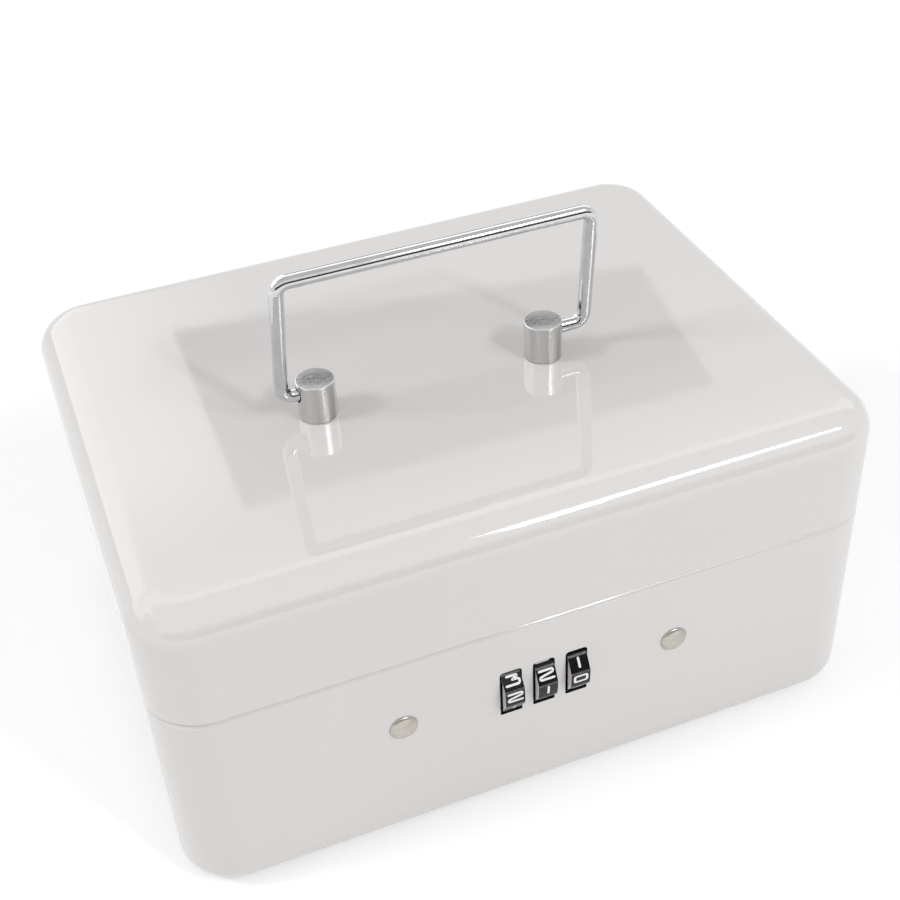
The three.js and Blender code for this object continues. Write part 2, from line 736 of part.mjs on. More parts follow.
function lockCover() {
  const y = [coverFront + seatGap, coverBack];
  const tabX = tabOffset;
  let solid = block([cheekLeft - caseWall, cheekRight + caseWall], y, [-caseOuterHeight, caseOuterHeight]);
  for (const x of bossXs) solid = solid.add(rod('y', bossRadius, y, [x, 0, 0]));
  const through = [coverFront - cutOverrun, coverBack + cutOverrun];
  for (const x of bossXs) {
    solid = solid.subtract(rod('y', coverScrewRadius + runningGap, through, [x, 0, 0]));
  }
  const barMiddle = -(sliderBarLow + sliderBarHigh) / 2;
  const slotHalf = tabHeight / 2 + runningGap;
  solid = solid.subtract(block(
    [tabX - tabWidth / 2 - sleeveTravel - runningGap, tabX + tabWidth / 2 + runningGap],
    through,
    [barMiddle - slotHalf, barMiddle + slotHalf],
  ));
  const pieces = [piece('lock_back_cover', solid, 'zinc')];
  bossXs.forEach((x, index) => {
    const seat = coverBack + seatGap;
    const head = seat + coverScrewHeadHeight;
    const screw = turned('y', [
      [0, coverFront - coverScrewLength + runningGap],
      [coverScrewRadius, coverFront - coverScrewLength + runningGap],
      [coverScrewRadius, seat],
      [coverScrewHeadRadius, seat],
      [coverScrewHeadRadius, head - coverScrewHeadHeight / 2],
      [coverScrewRadius, head],
      [0, head],
    ], smallRoundSides);
    pieces.push(piece(`cover_screw_${sideNames[index]}`, screw, 'zinc', [x, 0, 0]));
  });
  return pieces;
}

function lockRivet(side) {
  const name = `lock_rivet_${sideNames[(side + 1) / 2]}`;
  const headBack = -dialAxisDepth - seatGap;
  const tail = caseFront + caseWall + seatGap;
  const solid = turned('y', [
    ...rivetDomeShares.map(([out, up]) => [rivetHeadRadius * out, headBack - rivetHeadHeight * up]),
    [rivetHeadRadius, headBack],
    [rivetShankRadius, headBack],
    [rivetShankRadius, tail],
    [rivetTailRadius, tail],
    [rivetTailRadius - rivetTailHeight / 2, tail + rivetTailHeight],
    [0, tail + rivetTailHeight],
  ]);
  return piece(name, solid, 'nickel', [rivetX(side), 0, 0]);
}

// A rocker on the latch rod: teeth below the rod, nose above it
function latchLever() {
  const eyeRadius = latchRodRadius + runningGap / 2 + latchEyeWall;
  const width = [latchLeft, latchRight];
  let solid = block(width, [latchWebFront, latchWebBack], [-latchFoot, latchZ])
    .add(rod('x', eyeRadius, width, [0, latchY, latchZ]))
    .add(block([-latchArmWidth / 2, latchArmWidth / 2], [latchWebFront, latchWebBack], [latchZ, noseHigh]))
    .add(block([-noseWidth / 2, noseWidth / 2], [noseTip, latchWebBack], [noseLow, noseHigh]));
  for (const x of dialXs) {
    const tooth = [x + dialWidth / 2 + toothSideGap, x + dialPitch - dialWidth / 2 - toothSideGap];
    const toothTip = flangeRadius - gateEntry;
    solid = solid.add(block(tooth, [toothTip, latchWebBack], [-toothHalfHeight, toothHalfHeight]));
  }
  const bore = [latchLeft - cutOverrun, latchRight + cutOverrun];
  solid = solid.subtract(rod('x', latchRodRadius + runningGap / 2, bore, [0, latchY, latchZ]));
  return piece('latch_lever', solid, 'zinc');
}

function latchRod() {
  const ends = [cheekLeft - caseWall - runningGap, cheekRight + caseWall + runningGap];
  return piece('latch_rod', rod('x', latchRodRadius, ends, [0, latchY, latchZ]), 'steel');
}

// A helix along X about a centre
function helixPoint(turnsDone, turns, [from, to], radius, [y, z]) {
  const angle = turnsDone * Math.PI * 2;
  const x = from + (to - from) * turnsDone / turns;
  return new THREE.Vector3(x, y + radius * Math.cos(angle), z + radius * Math.sin(angle));
}

function returnSpring() {
  const radius = (axleRadius - caseFront - caseWall) / 2;
  const ends = [springLeft + springWireRadius, springLeft + returnSpringLength - springWireRadius];
  const points = [];
  const steps = returnSpringTurns * springStepsPerTurn;
  for (let i = 0; i <= steps; i += 1) {
    points.push(helixPoint(i / springStepsPerTurn, returnSpringTurns, ends, radius, [0, 0]));
  }
  const curve = new THREE.CatmullRomCurve3(points);
  return piece('sleeve_return_spring', wire(curve, steps, springWireRadius, springSides), 'steel');
}

// The latch spring winds on the rod, with one leg down the cover and one up behind the lever
function latchSpring() {
  const radius = latchRodRadius + 2 * springWireRadius;
  const ends = [latchRight + 2 * runningGap, latchRight + 2 * runningGap + latchSpringLength];
  const centre = [latchY, latchZ];
  const points = [];
  const steps = latchSpringTurns * springStepsPerTurn;
  const up = new THREE.Vector3(0, 0, 1);
  const first = helixPoint(0, latchSpringTurns, ends, radius, centre);
  points.push(first.clone().addScaledVector(up, -latchSpringLeg));
  points.push(first.clone().addScaledVector(up, -latchSpringLeg / 2));
  for (let i = 0; i <= steps; i += 1) {
    points.push(helixPoint(i / springStepsPerTurn, latchSpringTurns, ends, radius, centre));
  }
  const last = points[points.length - 1];
  points.push(last.clone().addScaledVector(up, latchSpringTail));
  const curve = new THREE.CatmullRomCurve3(points);
  const spring = wire(curve, steps + springLegSteps, springWireRadius, springSides);
  return piece('latch_spring', spring, 'steel');
}

function changeSlider() {
  const bar = [dialRadius + sliderBackSet, dialRadius + sliderBackSet + sliderBar];
  const barZ = [-sliderBarLow, -sliderBarHigh];
  const barMiddle = (barZ[0] + barZ[1]) / 2;
  const pusherX = [pusherLeft, pusherRight];
  const forkRoom = axleRadius + runningGap;
  const tabX = [tabOffset - tabWidth / 2, tabOffset + tabWidth / 2];
  const tabZ = [barMiddle - tabHeight / 2, barMiddle + tabHeight / 2];
  const solid = block([pusherLeft, tabX[1]], bar, barZ)
    .add(block(pusherX, [-sleeveTubeRadius, bar[1]], [-sliderBarLow, sleeveTubeRadius]))
    .add(block(tabX, [bar[0], coverBack + tabStandOut], tabZ))
    .subtract(block(
      [pusherLeft - cutOverrun, pusherRight + cutOverrun],
      [-sleeveTubeRadius - cutOverrun, forkRoom],
      [-forkRoom, forkRoom],
    ))
    .subtract(block(
      [pusherLeft - cutOverrun, pusherRight + cutOverrun],
      [latchWebFront - 2 * runningGap, bar[1] + cutOverrun],
      [-sliderBarHigh, sleeveTubeRadius + cutOverrun],
    ));
  return piece('code_change_slider', solid, 'zinc');
}

// Three fingers of one leaf spring bear on the dials from below and behind
function detentSpring() {
  const floor = -caseInnerHeight + seatGap;
  const inner = dialRadius + runningGap;
  const outer = inner + leafSpringThickness;
  const half = dialPitch + leafSpringFingerWidth / 2;
  let solid = block(
    [-half, half],
    [caseFront + caseWall + seatGap, outer * Math.cos(leafSpringFrom) + leafSpringThickness],
    [floor, floor + leafSpringThickness],
  );
  const finger = new THREE.Shape();
  finger.absarc(0, 0, outer, leafSpringFrom, leafSpringTo, false);
  finger.absarc(0, 0, inner, leafSpringTo, leafSpringFrom, true);
  for (const x of dialXs) {
    const ends = [x - leafSpringFingerWidth / 2, x + leafSpringFingerWidth / 2];
    solid = solid.add(prismAlongX(finger, ends, edgeSteps));
  }
  return piece('dial_detent_spring', solid, 'steel');
}

// The striker steps over the rim and hangs in front of the latch nose
function lidStriker() {
  const half = strikerWidth / 2;
  const foot = wallBack + seatGap;
  const overRim = rimTop + strikerRise - lockHeight;
  const footTop = overRim + (lidWallTop - rimTop - strikerRise) * strikerFootShare;
  const solid = block([-half, half], [foot, foot + strikerThickness], [overRim, footTop])
    .add(block([-half, half], [foot, strikerBack], [overRim, overRim + strikerThickness]))
    .add(block([-half, half], [strikerFront, strikerBack], [strikerEnd, overRim + strikerThickness]))
    .subtract(block(
      [-noseWidth / 2 - windowSideGap, noseWidth / 2 + windowSideGap],
      [strikerFront - cutOverrun, strikerBack + cutOverrun],
      [windowLow, noseHigh + runningGap],
    ));
  return piece('lid_striker', solid, 'zinc');
}

// The whole box

const handle = new THREE.Group();
handle.position.set(handleOffsetX, handleOffsetY, boxHeight);
handle.add(
  handlePost('handle_post_left', -1),
  handlePost('handle_post_right', 1),
  handleBail(),
  ...handleFixing(-1),
  ...handleFixing(1),
);

const lock = new THREE.Group();
lock.position.set(0, axisGroupY, lockHeight);
lock.add(
  lockCase(),
  ...lockCover(),
  lockRivet(-1),
  lockRivet(1),
  ...dialAxle(),
  ...dialXs.map((x, index) => dial(index)),
  ...dialXs.map((x, index) => codeSleeve(index)),
  returnSpring(),
  changeSlider(),
  detentSpring(),
  latchLever(),
  latchRod(),
  latchSpring(),
  lidStriker(),
);

const lockBox = new THREE.Group();
lockBox.name = 'medication_lock_box';
lockBox.add(bodyShell(), lidShell(), handle, hinge(-1), hinge(1), lock);

export default lockBox;
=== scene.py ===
"""Looks of a small white steel lock box: fine meshes, finishes, light and the photographed view.

Metres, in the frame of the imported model: X runs along the front, the front faces -Y, Z is up.
"""

import math

import bmesh
import bpy
from mathutils import Matrix, Vector


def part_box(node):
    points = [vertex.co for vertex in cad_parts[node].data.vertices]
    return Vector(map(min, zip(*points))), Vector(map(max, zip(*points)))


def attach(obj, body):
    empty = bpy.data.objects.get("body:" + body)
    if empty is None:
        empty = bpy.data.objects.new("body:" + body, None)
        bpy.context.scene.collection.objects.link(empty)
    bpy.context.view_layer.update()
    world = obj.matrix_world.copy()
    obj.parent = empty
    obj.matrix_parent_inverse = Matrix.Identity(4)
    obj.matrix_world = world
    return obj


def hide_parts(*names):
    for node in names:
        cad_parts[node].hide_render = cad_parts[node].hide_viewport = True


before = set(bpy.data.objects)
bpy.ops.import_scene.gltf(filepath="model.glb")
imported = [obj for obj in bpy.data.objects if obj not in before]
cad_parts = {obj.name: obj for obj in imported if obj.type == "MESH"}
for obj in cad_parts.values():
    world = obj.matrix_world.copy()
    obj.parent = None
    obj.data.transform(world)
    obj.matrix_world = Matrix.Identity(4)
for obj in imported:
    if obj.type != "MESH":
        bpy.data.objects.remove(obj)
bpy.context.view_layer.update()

MM = 0.001
WELD = 1e-7
FLAT_WITHIN = math.radians(0.5)

# Degrees from which an edge is shaded sharp, or is rounded
SHARP_FROM = 38
DIAL_SHARP_FROM = 30
WIRE_SHARP_FROM = 60
ROUNDED_FROM = 40
BORE_ROUNDED_FROM = 60
ROUND_SEGMENTS = 2

# Sides of round holes
HOLE_SIDES = 40
BORE_SIDES = 48

# Painted body and lid
SHEET = 0.7 * MM
CORNER_RADIUS = 11.5 * MM
EDGE_RADIUS = 7 * MM
PARTING_HEIGHT = 50 * MM
SHOULDER_INNER_RADIUS = 0.5 * MM
RIM_INSET = 1.85 * MM
CORNER_STEPS = 28
EDGE_STEPS = 14
SHOULDER_STEPS = 6
SHEET_EDGE_ROUND = 0.13 * MM
CUT_OVERRUN = 1 * MM

# Slots, holes and notches in the shells
SLOT_WIDTH = 4.75 * MM
SLOT_HEIGHT = 11.9 * MM
SLOT_TOP_CORNER = 0.9 * MM
SLOT_LOW_CORNER = 0.35 * MM
SLOT_CORNER_STEPS = 5
SLOT_LEVEL_SHARE = 0.3
RIVET_HOLE_RADIUS = 1.8 * MM
SCREW_HOLE_RADIUS = 2.05 * MM
NOTCH_SIDE_GAP = 0.3 * MM
NOTCH_DEPTH = 2.85 * MM
NOTCH_HALF_HEIGHT = 1.9 * MM
REAR_RELIEF = 0.6 * MM
REAR_RELIEF_DEPTH = 0.85 * MM

# Handle
POST_EDGE_BREAK = 0.3 * MM
POST_EDGE_STEPS = 5
POST_SIDES = 96
BORE_EDGE_ROUND = 0.06 * MM
PIVOT_HEIGHT = 5.9 * MM
BORE_RADIUS = 1.8 * MM
BORE_BACK = 2.45 * MM
TAP_RADIUS = 2.05 * MM
TAP_DEPTH = 3.6 * MM
WIRE_RADIUS = 1.49 * MM
WIRE_SIDES = 32
BAIL_WIDTH = 65.6 * MM
BAIL_REACH = 27.7 * MM
BAIL_BEND = 2.4 * MM
BAIL_BEND_STEPS = 14
BAIL_LEAN = math.radians(6.2)
BAIL_LEFT_LEG_LEAN = math.radians(2.65)
BAIL_END_ROUND = 0.3 * MM

# Dials: the turn is the degrees from level to the first ridge above, and the top number lies over it
DIAL_RADIUS = 6.15 * MM
DIAL_FACES = 10
DIAL_FACE_ANGLE = math.tau / DIAL_FACES
DIAL_FACE_STEPS = 14
DIAL_CROWN_SHARE = 0.22
DIAL_RIM_ROUND = 0.12 * MM
DIAL_RIM_STEPS = 3
DIAL_BORE_RADIUS = 1.95 * MM
DIAL_TURNS = {"left": 21.5, "middle": 11.6, "right": 14.5}
TOP_NUMBERS = {"left": 3, "middle": 2, "right": 1}
RIDGE_HALF_ANGLE = math.radians(3.2)
RIDGE_LEVEL_SHARE = 0.3
FLANK_LEVEL_SHARE = 0.9
PLASTIC_PART, RIDGE_PART, FLANK_PART, INK_PART = range(4)
KEY_SLOTS = 20
KEY_SLOT_WIDTH = 0.54 * MM
KEY_SLOT_DEPTH = 1 * MM
KEY_SLOT_INNER = 1.8 * MM
KEY_SLOT_OUTER = 2.8 * MM
NUMBER_WIDTH = 3.4 * MM
NUMBER_HEIGHT = 2.4 * MM
NUMBER_STROKE = 0.5 * MM
NUMBER_LIFT = 0.34 * MM
NUMBER_STEP = 0.35 * MM
NUMBER_RISE = 0.02 * MM
NUMBER_SUNK = 0.1 * MM
LATER_STROKE_DROP = 0.004 * MM
STROKE_CORNER_STEPS = 6
STROKE_CAP_STEPS = 6

# Rivets, screws and washers
RIVET_HEAD_RADIUS = 2.9 * MM
RIVET_HEAD_HEIGHT = 0.75 * MM
RIVET_SHANK_RADIUS = 1.5 * MM
RIVET_TAIL_RADIUS = 2.3 * MM
RIVET_TAIL_HEIGHT = 0.9 * MM
RIVET_SIDES = 72
# Head outline: out as shares of its radius, up as shares of its height
RIVET_DOME_SHARES = [
    (0, 1), (0.3, 0.985), (0.6, 0.9), (0.78, 0.76), (0.9, 0.55), (0.965, 0.36), (1, 0.12),
]
# Tail outline: inset and up as shares of its height
RIVET_TAIL_SHARES = [(0, 0.25), (0.25, 0.8), (0.5, 1)]
SCREW_SHANK_RADIUS = 1.75 * MM
SCREW_HEAD_RADIUS = 3.6 * MM
SCREW_HEAD_HEIGHT = 2.2 * MM
RECESS_ARM = 1.2 * MM
RECESS_WIDTH = 0.8 * MM
COVER_SCREW_RADIUS = 1 * MM
COVER_SCREW_HEAD_RADIUS = 2 * MM
COVER_SCREW_HEAD_HEIGHT = 1.3 * MM
COVER_RECESS_WIDTH = RECESS_WIDTH * 2 / 3
SMALL_ROUND = 0.12 * MM
WASHER_EDGE_STEPS = 3
HANDLE_FIXING_SIDES = 56
SMALL_SIDES = 48
LEAF_EDGE_ROUND = 0.1 * MM
SLEEVE_EDGE_ROUND = 0.08 * MM
WORN_EDGE_WIDTH = 0.25 * MM

# Springs
SPRING_WIRE_RADIUS = 0.3 * MM
SPRING_STEPS_PER_TURN = 40
SPRING_SIDES = 12
RETURN_SPRING_TURNS = 3
LATCH_SPRING_TURNS = 4
LATCH_SPRING_LENGTH = 3.2 * MM
LATCH_SPRING_LEG = 6 * MM
LATCH_SPRING_TAIL = 1.5 * MM

# View of the photograph
IMAGE_PIXELS = 900
FOCAL_PIXELS = 1437.5
SENSOR_WIDTH = 36
CAMERA_AZIMUTH = math.radians(-19.46)
CAMERA_ELEVATION = math.radians(38.184)
CAMERA_ROLL = math.radians(-3.195)
CAMERA_DISTANCE = 325.73 * MM
CAMERA_SIDE = 2.516 * MM
CAMERA_RISE = 8.146 * MM
TARGET_HEIGHT = 40 * MM
CLIP_START = 10 * MM


# Mesh making

def link(name, bm):
    """A new object from a mesh in the making, with its faces pointing out."""
    bmesh.ops.remove_doubles(bm, verts=bm.verts, dist=WELD)
    bmesh.ops.recalc_face_normals(bm, faces=bm.faces)
    mesh = bpy.data.meshes.new(name)
    bm.to_mesh(mesh)
    bm.free()
    obj = bpy.data.objects.new(name, mesh)
    bpy.context.scene.collection.objects.link(obj)
    return obj


def add_rings(bm, rings, capped):
    """Joins rings of points, equal in number, by quads."""
    loops = [[bm.verts.new(point) for point in ring] for ring in rings]
    count = len(loops[0])
    for near, far in zip(loops, loops[1:]):
        for i in range(count):
            j = (i + 1) % count
            bm.faces.new((near[i], near[j], far[j], far[i]))
    if capped:
        bm.faces.new(loops[0])
        bm.faces.new(loops[-1])


def lofted(name, rings, capped=True):
    bm = bmesh.new()
    add_rings(bm, rings, capped)
    return link(name, bm)


def around(axis, radius, station, turn):
    """A point on a circle about an axis through the origin."""
    a = radius * math.cos(turn)
    b = radius * math.sin(turn)
    places = {"X": (station, a, b), "Y": (b, station, a), "Z": (a, b, station)}
    return Vector(places[axis])


def circle(axis, radius, station, sides):
    return [around(axis, radius, station, i / sides * math.tau) for i in range(sides)]


def lathed(name, axis, profile, sides):
    """A turned piece: its (radius, station) pairs start and end on the axis, or close on themselves."""
    return lofted(name, [circle(axis, r, s, sides) for r, s in profile], capped=False)


def bored(axis, radius, ends, sides=HOLE_SIDES):
    """A cutter for a round hole."""
    return lofted("hole", [circle(axis, radius, end, sides) for end in ends])


def block(name, low, high):
    outline = [(low[0], low[1]), (high[0], low[1]), (high[0], high[1]), (low[0], high[1])]
    return lofted(name, [[(x, y, z) for x, y in outline] for z in (low[2], high[2])])


def rounded_profile(points, radius, steps=4, closed=False):
    """The same outline with its corners rounded, in two dimensions."""
    out = []
    count = len(points)
    for i, point in enumerate(points):
        here = Vector(point)
        if not closed and i in (0, count - 1):
            out.append(here)
            continue
        before = Vector(points[i - 1]) - here
        after = Vector(points[(i + 1) % count]) - here
        angle = before.angle(after)
        reach = min(radius / math.tan(angle / 2), before.length / 2, after.length / 2)
        start = here + before.normalized() * reach
        end = here + after.normalized() * reach
        for k in range(steps + 1):
            t = k / steps
            out.append(start.lerp(here, t).lerp(here.lerp(end, t), t))
    return out


def apply_modifiers(obj):
    evaluated = obj.evaluated_get(bpy.context.evaluated_depsgraph_get())
    old = obj.data
    obj.data = bpy.data.meshes.new_from_object(evaluated)
    obj.modifiers.clear()
    bpy.data.meshes.remove(old)


def cut(obj, cutters):
    """Cuts other solids from a piece, and removes them."""
    for cutter in cutters:
        modifier = obj.modifiers.new("cut", "BOOLEAN")
        modifier.operation = "DIFFERENCE"
        modifier.solver = "EXACT"
        modifier.object = cutter
    apply_modifiers(obj)
    for cutter in cutters:
        bpy.data.objects.remove(cutter)


def round_edges(obj, width, from_angle=ROUNDED_FROM):
    modifier = obj.modifiers.new("rounded edges", "BEVEL")
    modifier.width = width
    modifier.segments = ROUND_SEGMENTS
    modifier.limit_method = "ANGLE"
    modifier.angle_limit = math.radians(from_angle)
    modifier.use_clamp_overlap = True
    apply_modifiers(obj)


def shade(obj, sharp_from):
    """Smooth shading that keeps flat faces flat."""
    obj.data.shade_smooth()
    obj.data.set_sharp_from_angle(angle=math.radians(sharp_from))
    modifier = obj.modifiers.new("weighted normals", "WEIGHTED_NORMAL")
    modifier.keep_sharp = True
    apply_modifiers(obj)


def tube(name, points, radius, sides, end_round=0):
    """A round wire along points, with its rings carried along without twist."""
    last = len(points) - 1
    tangents = [(points[min(i + 1, last)] - points[max(i - 1, 0)]).normalized() for i in range(last + 1)]
    turns = [k / sides * math.tau for k in range(sides)]
    side = tangents[0].orthogonal().normalized()
    rings = []
    for i, (point, tangent) in enumerate(zip(points, tangents)):
        if i:
            side = tangents[i - 1].rotation_difference(tangent) @ side
        side = (side - tangent * side.dot(tangent)).normalized()
        other = tangent.cross(side)
        spokes = [side * math.cos(turn) + other * math.sin(turn) for turn in turns]
        if end_round and i in (0, last):
            inward = tangent * (end_round if i == 0 else -end_round)
            end = [point + spoke * (radius - end_round) for spoke in spokes]
            shoulder = [point + inward + spoke * radius for spoke in spokes]
            rings += [end, shoulder] if i == 0 else [shoulder, end]
        else:
            rings.append([point + spoke * radius for spoke in spokes])
    return lofted(name, rings)


def middle(node):
    low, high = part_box(node)
    return (low + high) / 2


def in_place(obj, x=0, y=0, z=0):
    obj.location = (x, y, z)
    return obj


def finish_piece(obj, node, body, slot, *materials, sharp_from=SHARP_FROM):
    """The piece stands for its CAD node, with its finish."""
    shade(obj, sharp_from)
    for material in materials:
        obj.data.materials.append(material)
    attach(obj, body)
    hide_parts(node)


def make_softened(node, body, slot, material, width):
    """The CAD node's own shape with rounded edges."""
    bm = bmesh.new()
    bm.from_mesh(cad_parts[node].data)
    bmesh.ops.remove_doubles(bm, verts=bm.verts, dist=WELD)
    bmesh.ops.dissolve_limit(bm, angle_limit=FLAT_WITHIN, verts=bm.verts, edges=bm.edges)
    obj = link("fine_" + node, bm)
    round_edges(obj, width)
    finish_piece(obj, node, body, slot, material)


# Finishes

# A mix node's sockets for each kind: its two values, then its result
MIX_SOCKETS = {"FLOAT": (2, 3, 0), "RGBA": (6, 7, 2)}


class Nodes:
    """Adds and joins the nodes of a tree."""

    def __init__(self, tree):
        self.tree = tree

    def add(self, kind, inputs=None, **settings):
        node = self.tree.nodes.new(kind)
        for key, value in settings.items():
            setattr(node, key, value)
        for key, value in (inputs or {}).items():
            self.feed(node.inputs[key], value)
        return node

    def feed(self, socket, value):
        if isinstance(value, bpy.types.NodeSocket):
            self.tree.links.new(value, socket)
        else:
            socket.default_value = value

    def between(self, value, low, high, start=0.3, end=0.7):
        """Low where the value is at start, high where it is at end, and level beyond them."""
        inputs = {"Value": value, "From Min": start, "From Max": end, "To Min": low, "To Max": high}
        return self.add("ShaderNodeMapRange", inputs).outputs["Result"]

    def calculate(self, operation, *values):
        node = self.add("ShaderNodeMath", operation=operation)
        for socket, value in zip(node.inputs, values):
            self.feed(socket, value)
        return node.outputs["Value"]

    def mixed(self, factor, a, b, kind="RGBA"):
        node = self.add("ShaderNodeMix", data_type=kind)
        first, second, result = MIX_SOCKETS[kind]
        self.feed(node.inputs[0], factor)
        self.feed(node.inputs[first], a)
        self.feed(node.inputs[second], b)
        return node.outputs[result]

    def seen_in_view(self):
        """1 for what the camera sees, straight or in metal and glass, else 0."""
        ray = self.add("ShaderNodeLightPath").outputs
        seen = self.calculate("MAXIMUM", ray["Is Camera Ray"], ray["Is Glossy Ray"])
        return self.calculate("MAXIMUM", seen, ray["Is Transmission Ray"])


class Finish(Nodes):
    """A node material in the making, on the piece's own coordinates."""

    def __init__(self, name, metallic=0, colour=None):
        self.material = bpy.data.materials.new(name)
        self.material.use_nodes = True
        super().__init__(self.material.node_tree)
        self.shader = self.tree.nodes["Principled BSDF"]
        self.shader.inputs["Metallic"].default_value = metallic
        if colour:
            self.material.diffuse_color = (*colour, 1)
        self.coordinates = self.add("ShaderNodeTexCoord").outputs
        self.place = self.coordinates["Object"]

    def set(self, **values):
        for key, value in values.items():
            self.feed(self.shader.inputs[key.replace("_", " ")], value)

    def dull(self, level):
        """Lowers the sheen of a surface that isn't metal."""
        self.shader.inputs["Specular IOR Level"].default_value = level

    def noise(self, scale, detail=2.0, roughness=0.5, stretch=None):
        vector = self.place
        if stretch:
            mapping = self.add("ShaderNodeMapping", {"Vector": self.place, "Scale": stretch})
            vector = mapping.outputs["Vector"]
        inputs = {"Vector": vector, "Scale": scale, "Detail": detail, "Roughness": roughness}
        return self.add("ShaderNodeTexNoise", inputs).outputs["Fac"]

    def colours(self, value, low, high, start=0.3, end=0.7):
        node = self.add("ShaderNodeValToRGB", {"Fac": value})
        first, last = node.color_ramp.elements
        first.position = start
        first.color = (*low, 1)
        last.position = end
        last.color = (*high, 1)
        return node.outputs["Color"]

    def bump(self, height, depth, under=None):
        inputs = {"Height": height, "Strength": 1, "Distance": depth}
        if under:
            inputs["Normal"] = under
        return self.add("ShaderNodeBump", inputs).outputs["Normal"]

    def edge_mask(self):
        """Near 1 on worn outer edges, from how much a rounded normal turns away from the true one."""
        soft = self.add("ShaderNodeBevel", {"Radius": WORN_EDGE_WIDTH}, samples=4).outputs["Normal"]
        true = self.add("ShaderNodeNewGeometry").outputs["Normal"]
        dot = self.add("ShaderNodeVectorMath", operation="DOT_PRODUCT")
        self.feed(dot.inputs[0], soft)
        self.feed(dot.inputs[1], true)
        away = self.calculate("SUBTRACT", 1, dot.outputs["Value"])
        return self.between(away, 0, 1, 0.02, 0.14)


def white_paint():
    """Gloss powder coat: faint mottling, a shallow orange peel and a few specks."""
    finish = Finish("white_powder_coat", colour=(0.74, 0.725, 0.71))
    tone = finish.noise(14, 3)
    base = finish.colours(tone, (0.735, 0.716, 0.702), (0.755, 0.739, 0.727))
    cells = finish.add("ShaderNodeTexVoronoi", {"Vector": finish.place, "Scale": 210})
    speck = finish.between(cells.outputs["Distance"], 1, 0, 0.03, 0.055)
    rare = finish.between(finish.noise(55, 1), 0, 1, 0.66, 0.7)
    spot = finish.calculate("MULTIPLY", finish.calculate("MULTIPLY", speck, rare), 0.35)
    base = finish.mixed(spot, base, (0.42, 0.4, 0.38, 1))
    peel = finish.bump(finish.noise(420, 1.5), 2.2e-6)
    wave = finish.bump(finish.noise(70, 1), 1e-5, peel)
    roughness = finish.between(finish.noise(90, 3), 0.035, 0.06)
    finish.set(Base_Color=base, Roughness=roughness, Normal=wave, IOR=1.6)
    return finish.material


def satin_chrome():
    """Turned posts: fine lines up the sides, faint rings on the top."""
    finish = Finish("satin_chrome", metallic=1, colour=(0.6, 0.59, 0.59))
    lines = finish.noise(1, 3, 0.7, stretch=(1500, 1500, 60))
    bands = finish.noise(1, 1, 0.5, stretch=(500, 500, 20))
    rings = finish.add(
        "ShaderNodeTexWave",
        {"Vector": finish.place, "Scale": 430, "Distortion": 0.3, "Detail": 1},
        wave_type="RINGS", rings_direction="Z",
    ).outputs["Fac"]
    normal = finish.add("ShaderNodeSeparateXYZ", {"Vector": finish.coordinates["Normal"]})
    on_top = finish.calculate("GREATER_THAN", normal.outputs["Z"], 0.8)
    grain = finish.mixed(on_top, lines, rings, "FLOAT")
    depth = finish.between(on_top, 1.4e-6, 1.2e-7, 0, 1)
    sides = finish.colours(bands, (0.46, 0.455, 0.455), (0.64, 0.635, 0.635))
    top = finish.colours(rings, (0.49, 0.485, 0.48), (0.52, 0.515, 0.51))
    base = finish.mixed(on_top, sides, top)
    roughness = finish.between(lines, 0.17, 0.28)
    finish.set(Base_Color=base, Roughness=roughness, Normal=finish.bump(grain, depth))
    return finish.material


def bright_chrome():
    """Polished plate on drawn wire, with slight waves and hairlines."""
    finish = Finish("bright_chrome", metallic=1, colour=(0.7, 0.7, 0.71))
    base = finish.colours(finish.noise(300, 2), (0.56, 0.56, 0.57), (0.64, 0.64, 0.65))
    hairlines = finish.noise(2600, 3, 0.7)
    roughness = finish.between(finish.noise(500, 3), 0.045, 0.11)
    waves = finish.bump(finish.noise(260, 1), 1.2e-5)
    finish.set(Base_Color=base, Roughness=roughness, Normal=finish.bump(hairlines, 8e-7, waves))
    return finish.material


def metal(name, low, high, rough, grain, grain_depth, stretch=None, edges=None):
    """A plated, cast or drawn metal: cloudy tone, grain and lighter edges."""
    finish = Finish(name, metallic=1, colour=high)
    base = finish.colours(finish.noise(420, 4, 0.6), low, high)
    if edges:
        base = finish.mixed(finish.edge_mask(), base, (*edges, 1))
    lines = finish.noise(1 if stretch else grain, 3, 0.65, stretch)
    roughness = finish.between(finish.noise(700, 3), *rough)
    finish.set(Base_Color=base, Roughness=roughness, Normal=finish.bump(lines, grain_depth))
    return finish.material


def black_plastic():
    """Gloss black moulding with a fine, uneven skin."""
    finish = Finish("black_plastic", colour=(0.012, 0.012, 0.013))
    base = finish.colours(finish.noise(600, 3), (0.006, 0.006, 0.006), (0.013, 0.013, 0.013))
    roughness = finish.between(finish.noise(900, 3), 0.12, 0.22)
    finish.set(Base_Color=base, Roughness=roughness, Normal=finish.bump(finish.noise(1500, 2), 3e-6))
    finish.dull(0.25)
    return finish.material


def ridge_wear_and_painted_highlight():
    """The dials' ridges in a lighter, duller black: wear by fingertips, and a painted highlight along
    each ridge.
    """
    finish = Finish("ridge_wear_and_painted_highlight", colour=(0.06, 0.06, 0.06))
    base = finish.colours(finish.noise(1100, 3, 0.6), (0.045, 0.045, 0.044), (0.1, 0.099, 0.097))
    roughness = finish.between(finish.noise(1400, 3), 0.3, 0.45)
    finish.set(Base_Color=base, Roughness=roughness, Normal=finish.bump(finish.noise(2200, 2), 4e-6))
    return finish.material


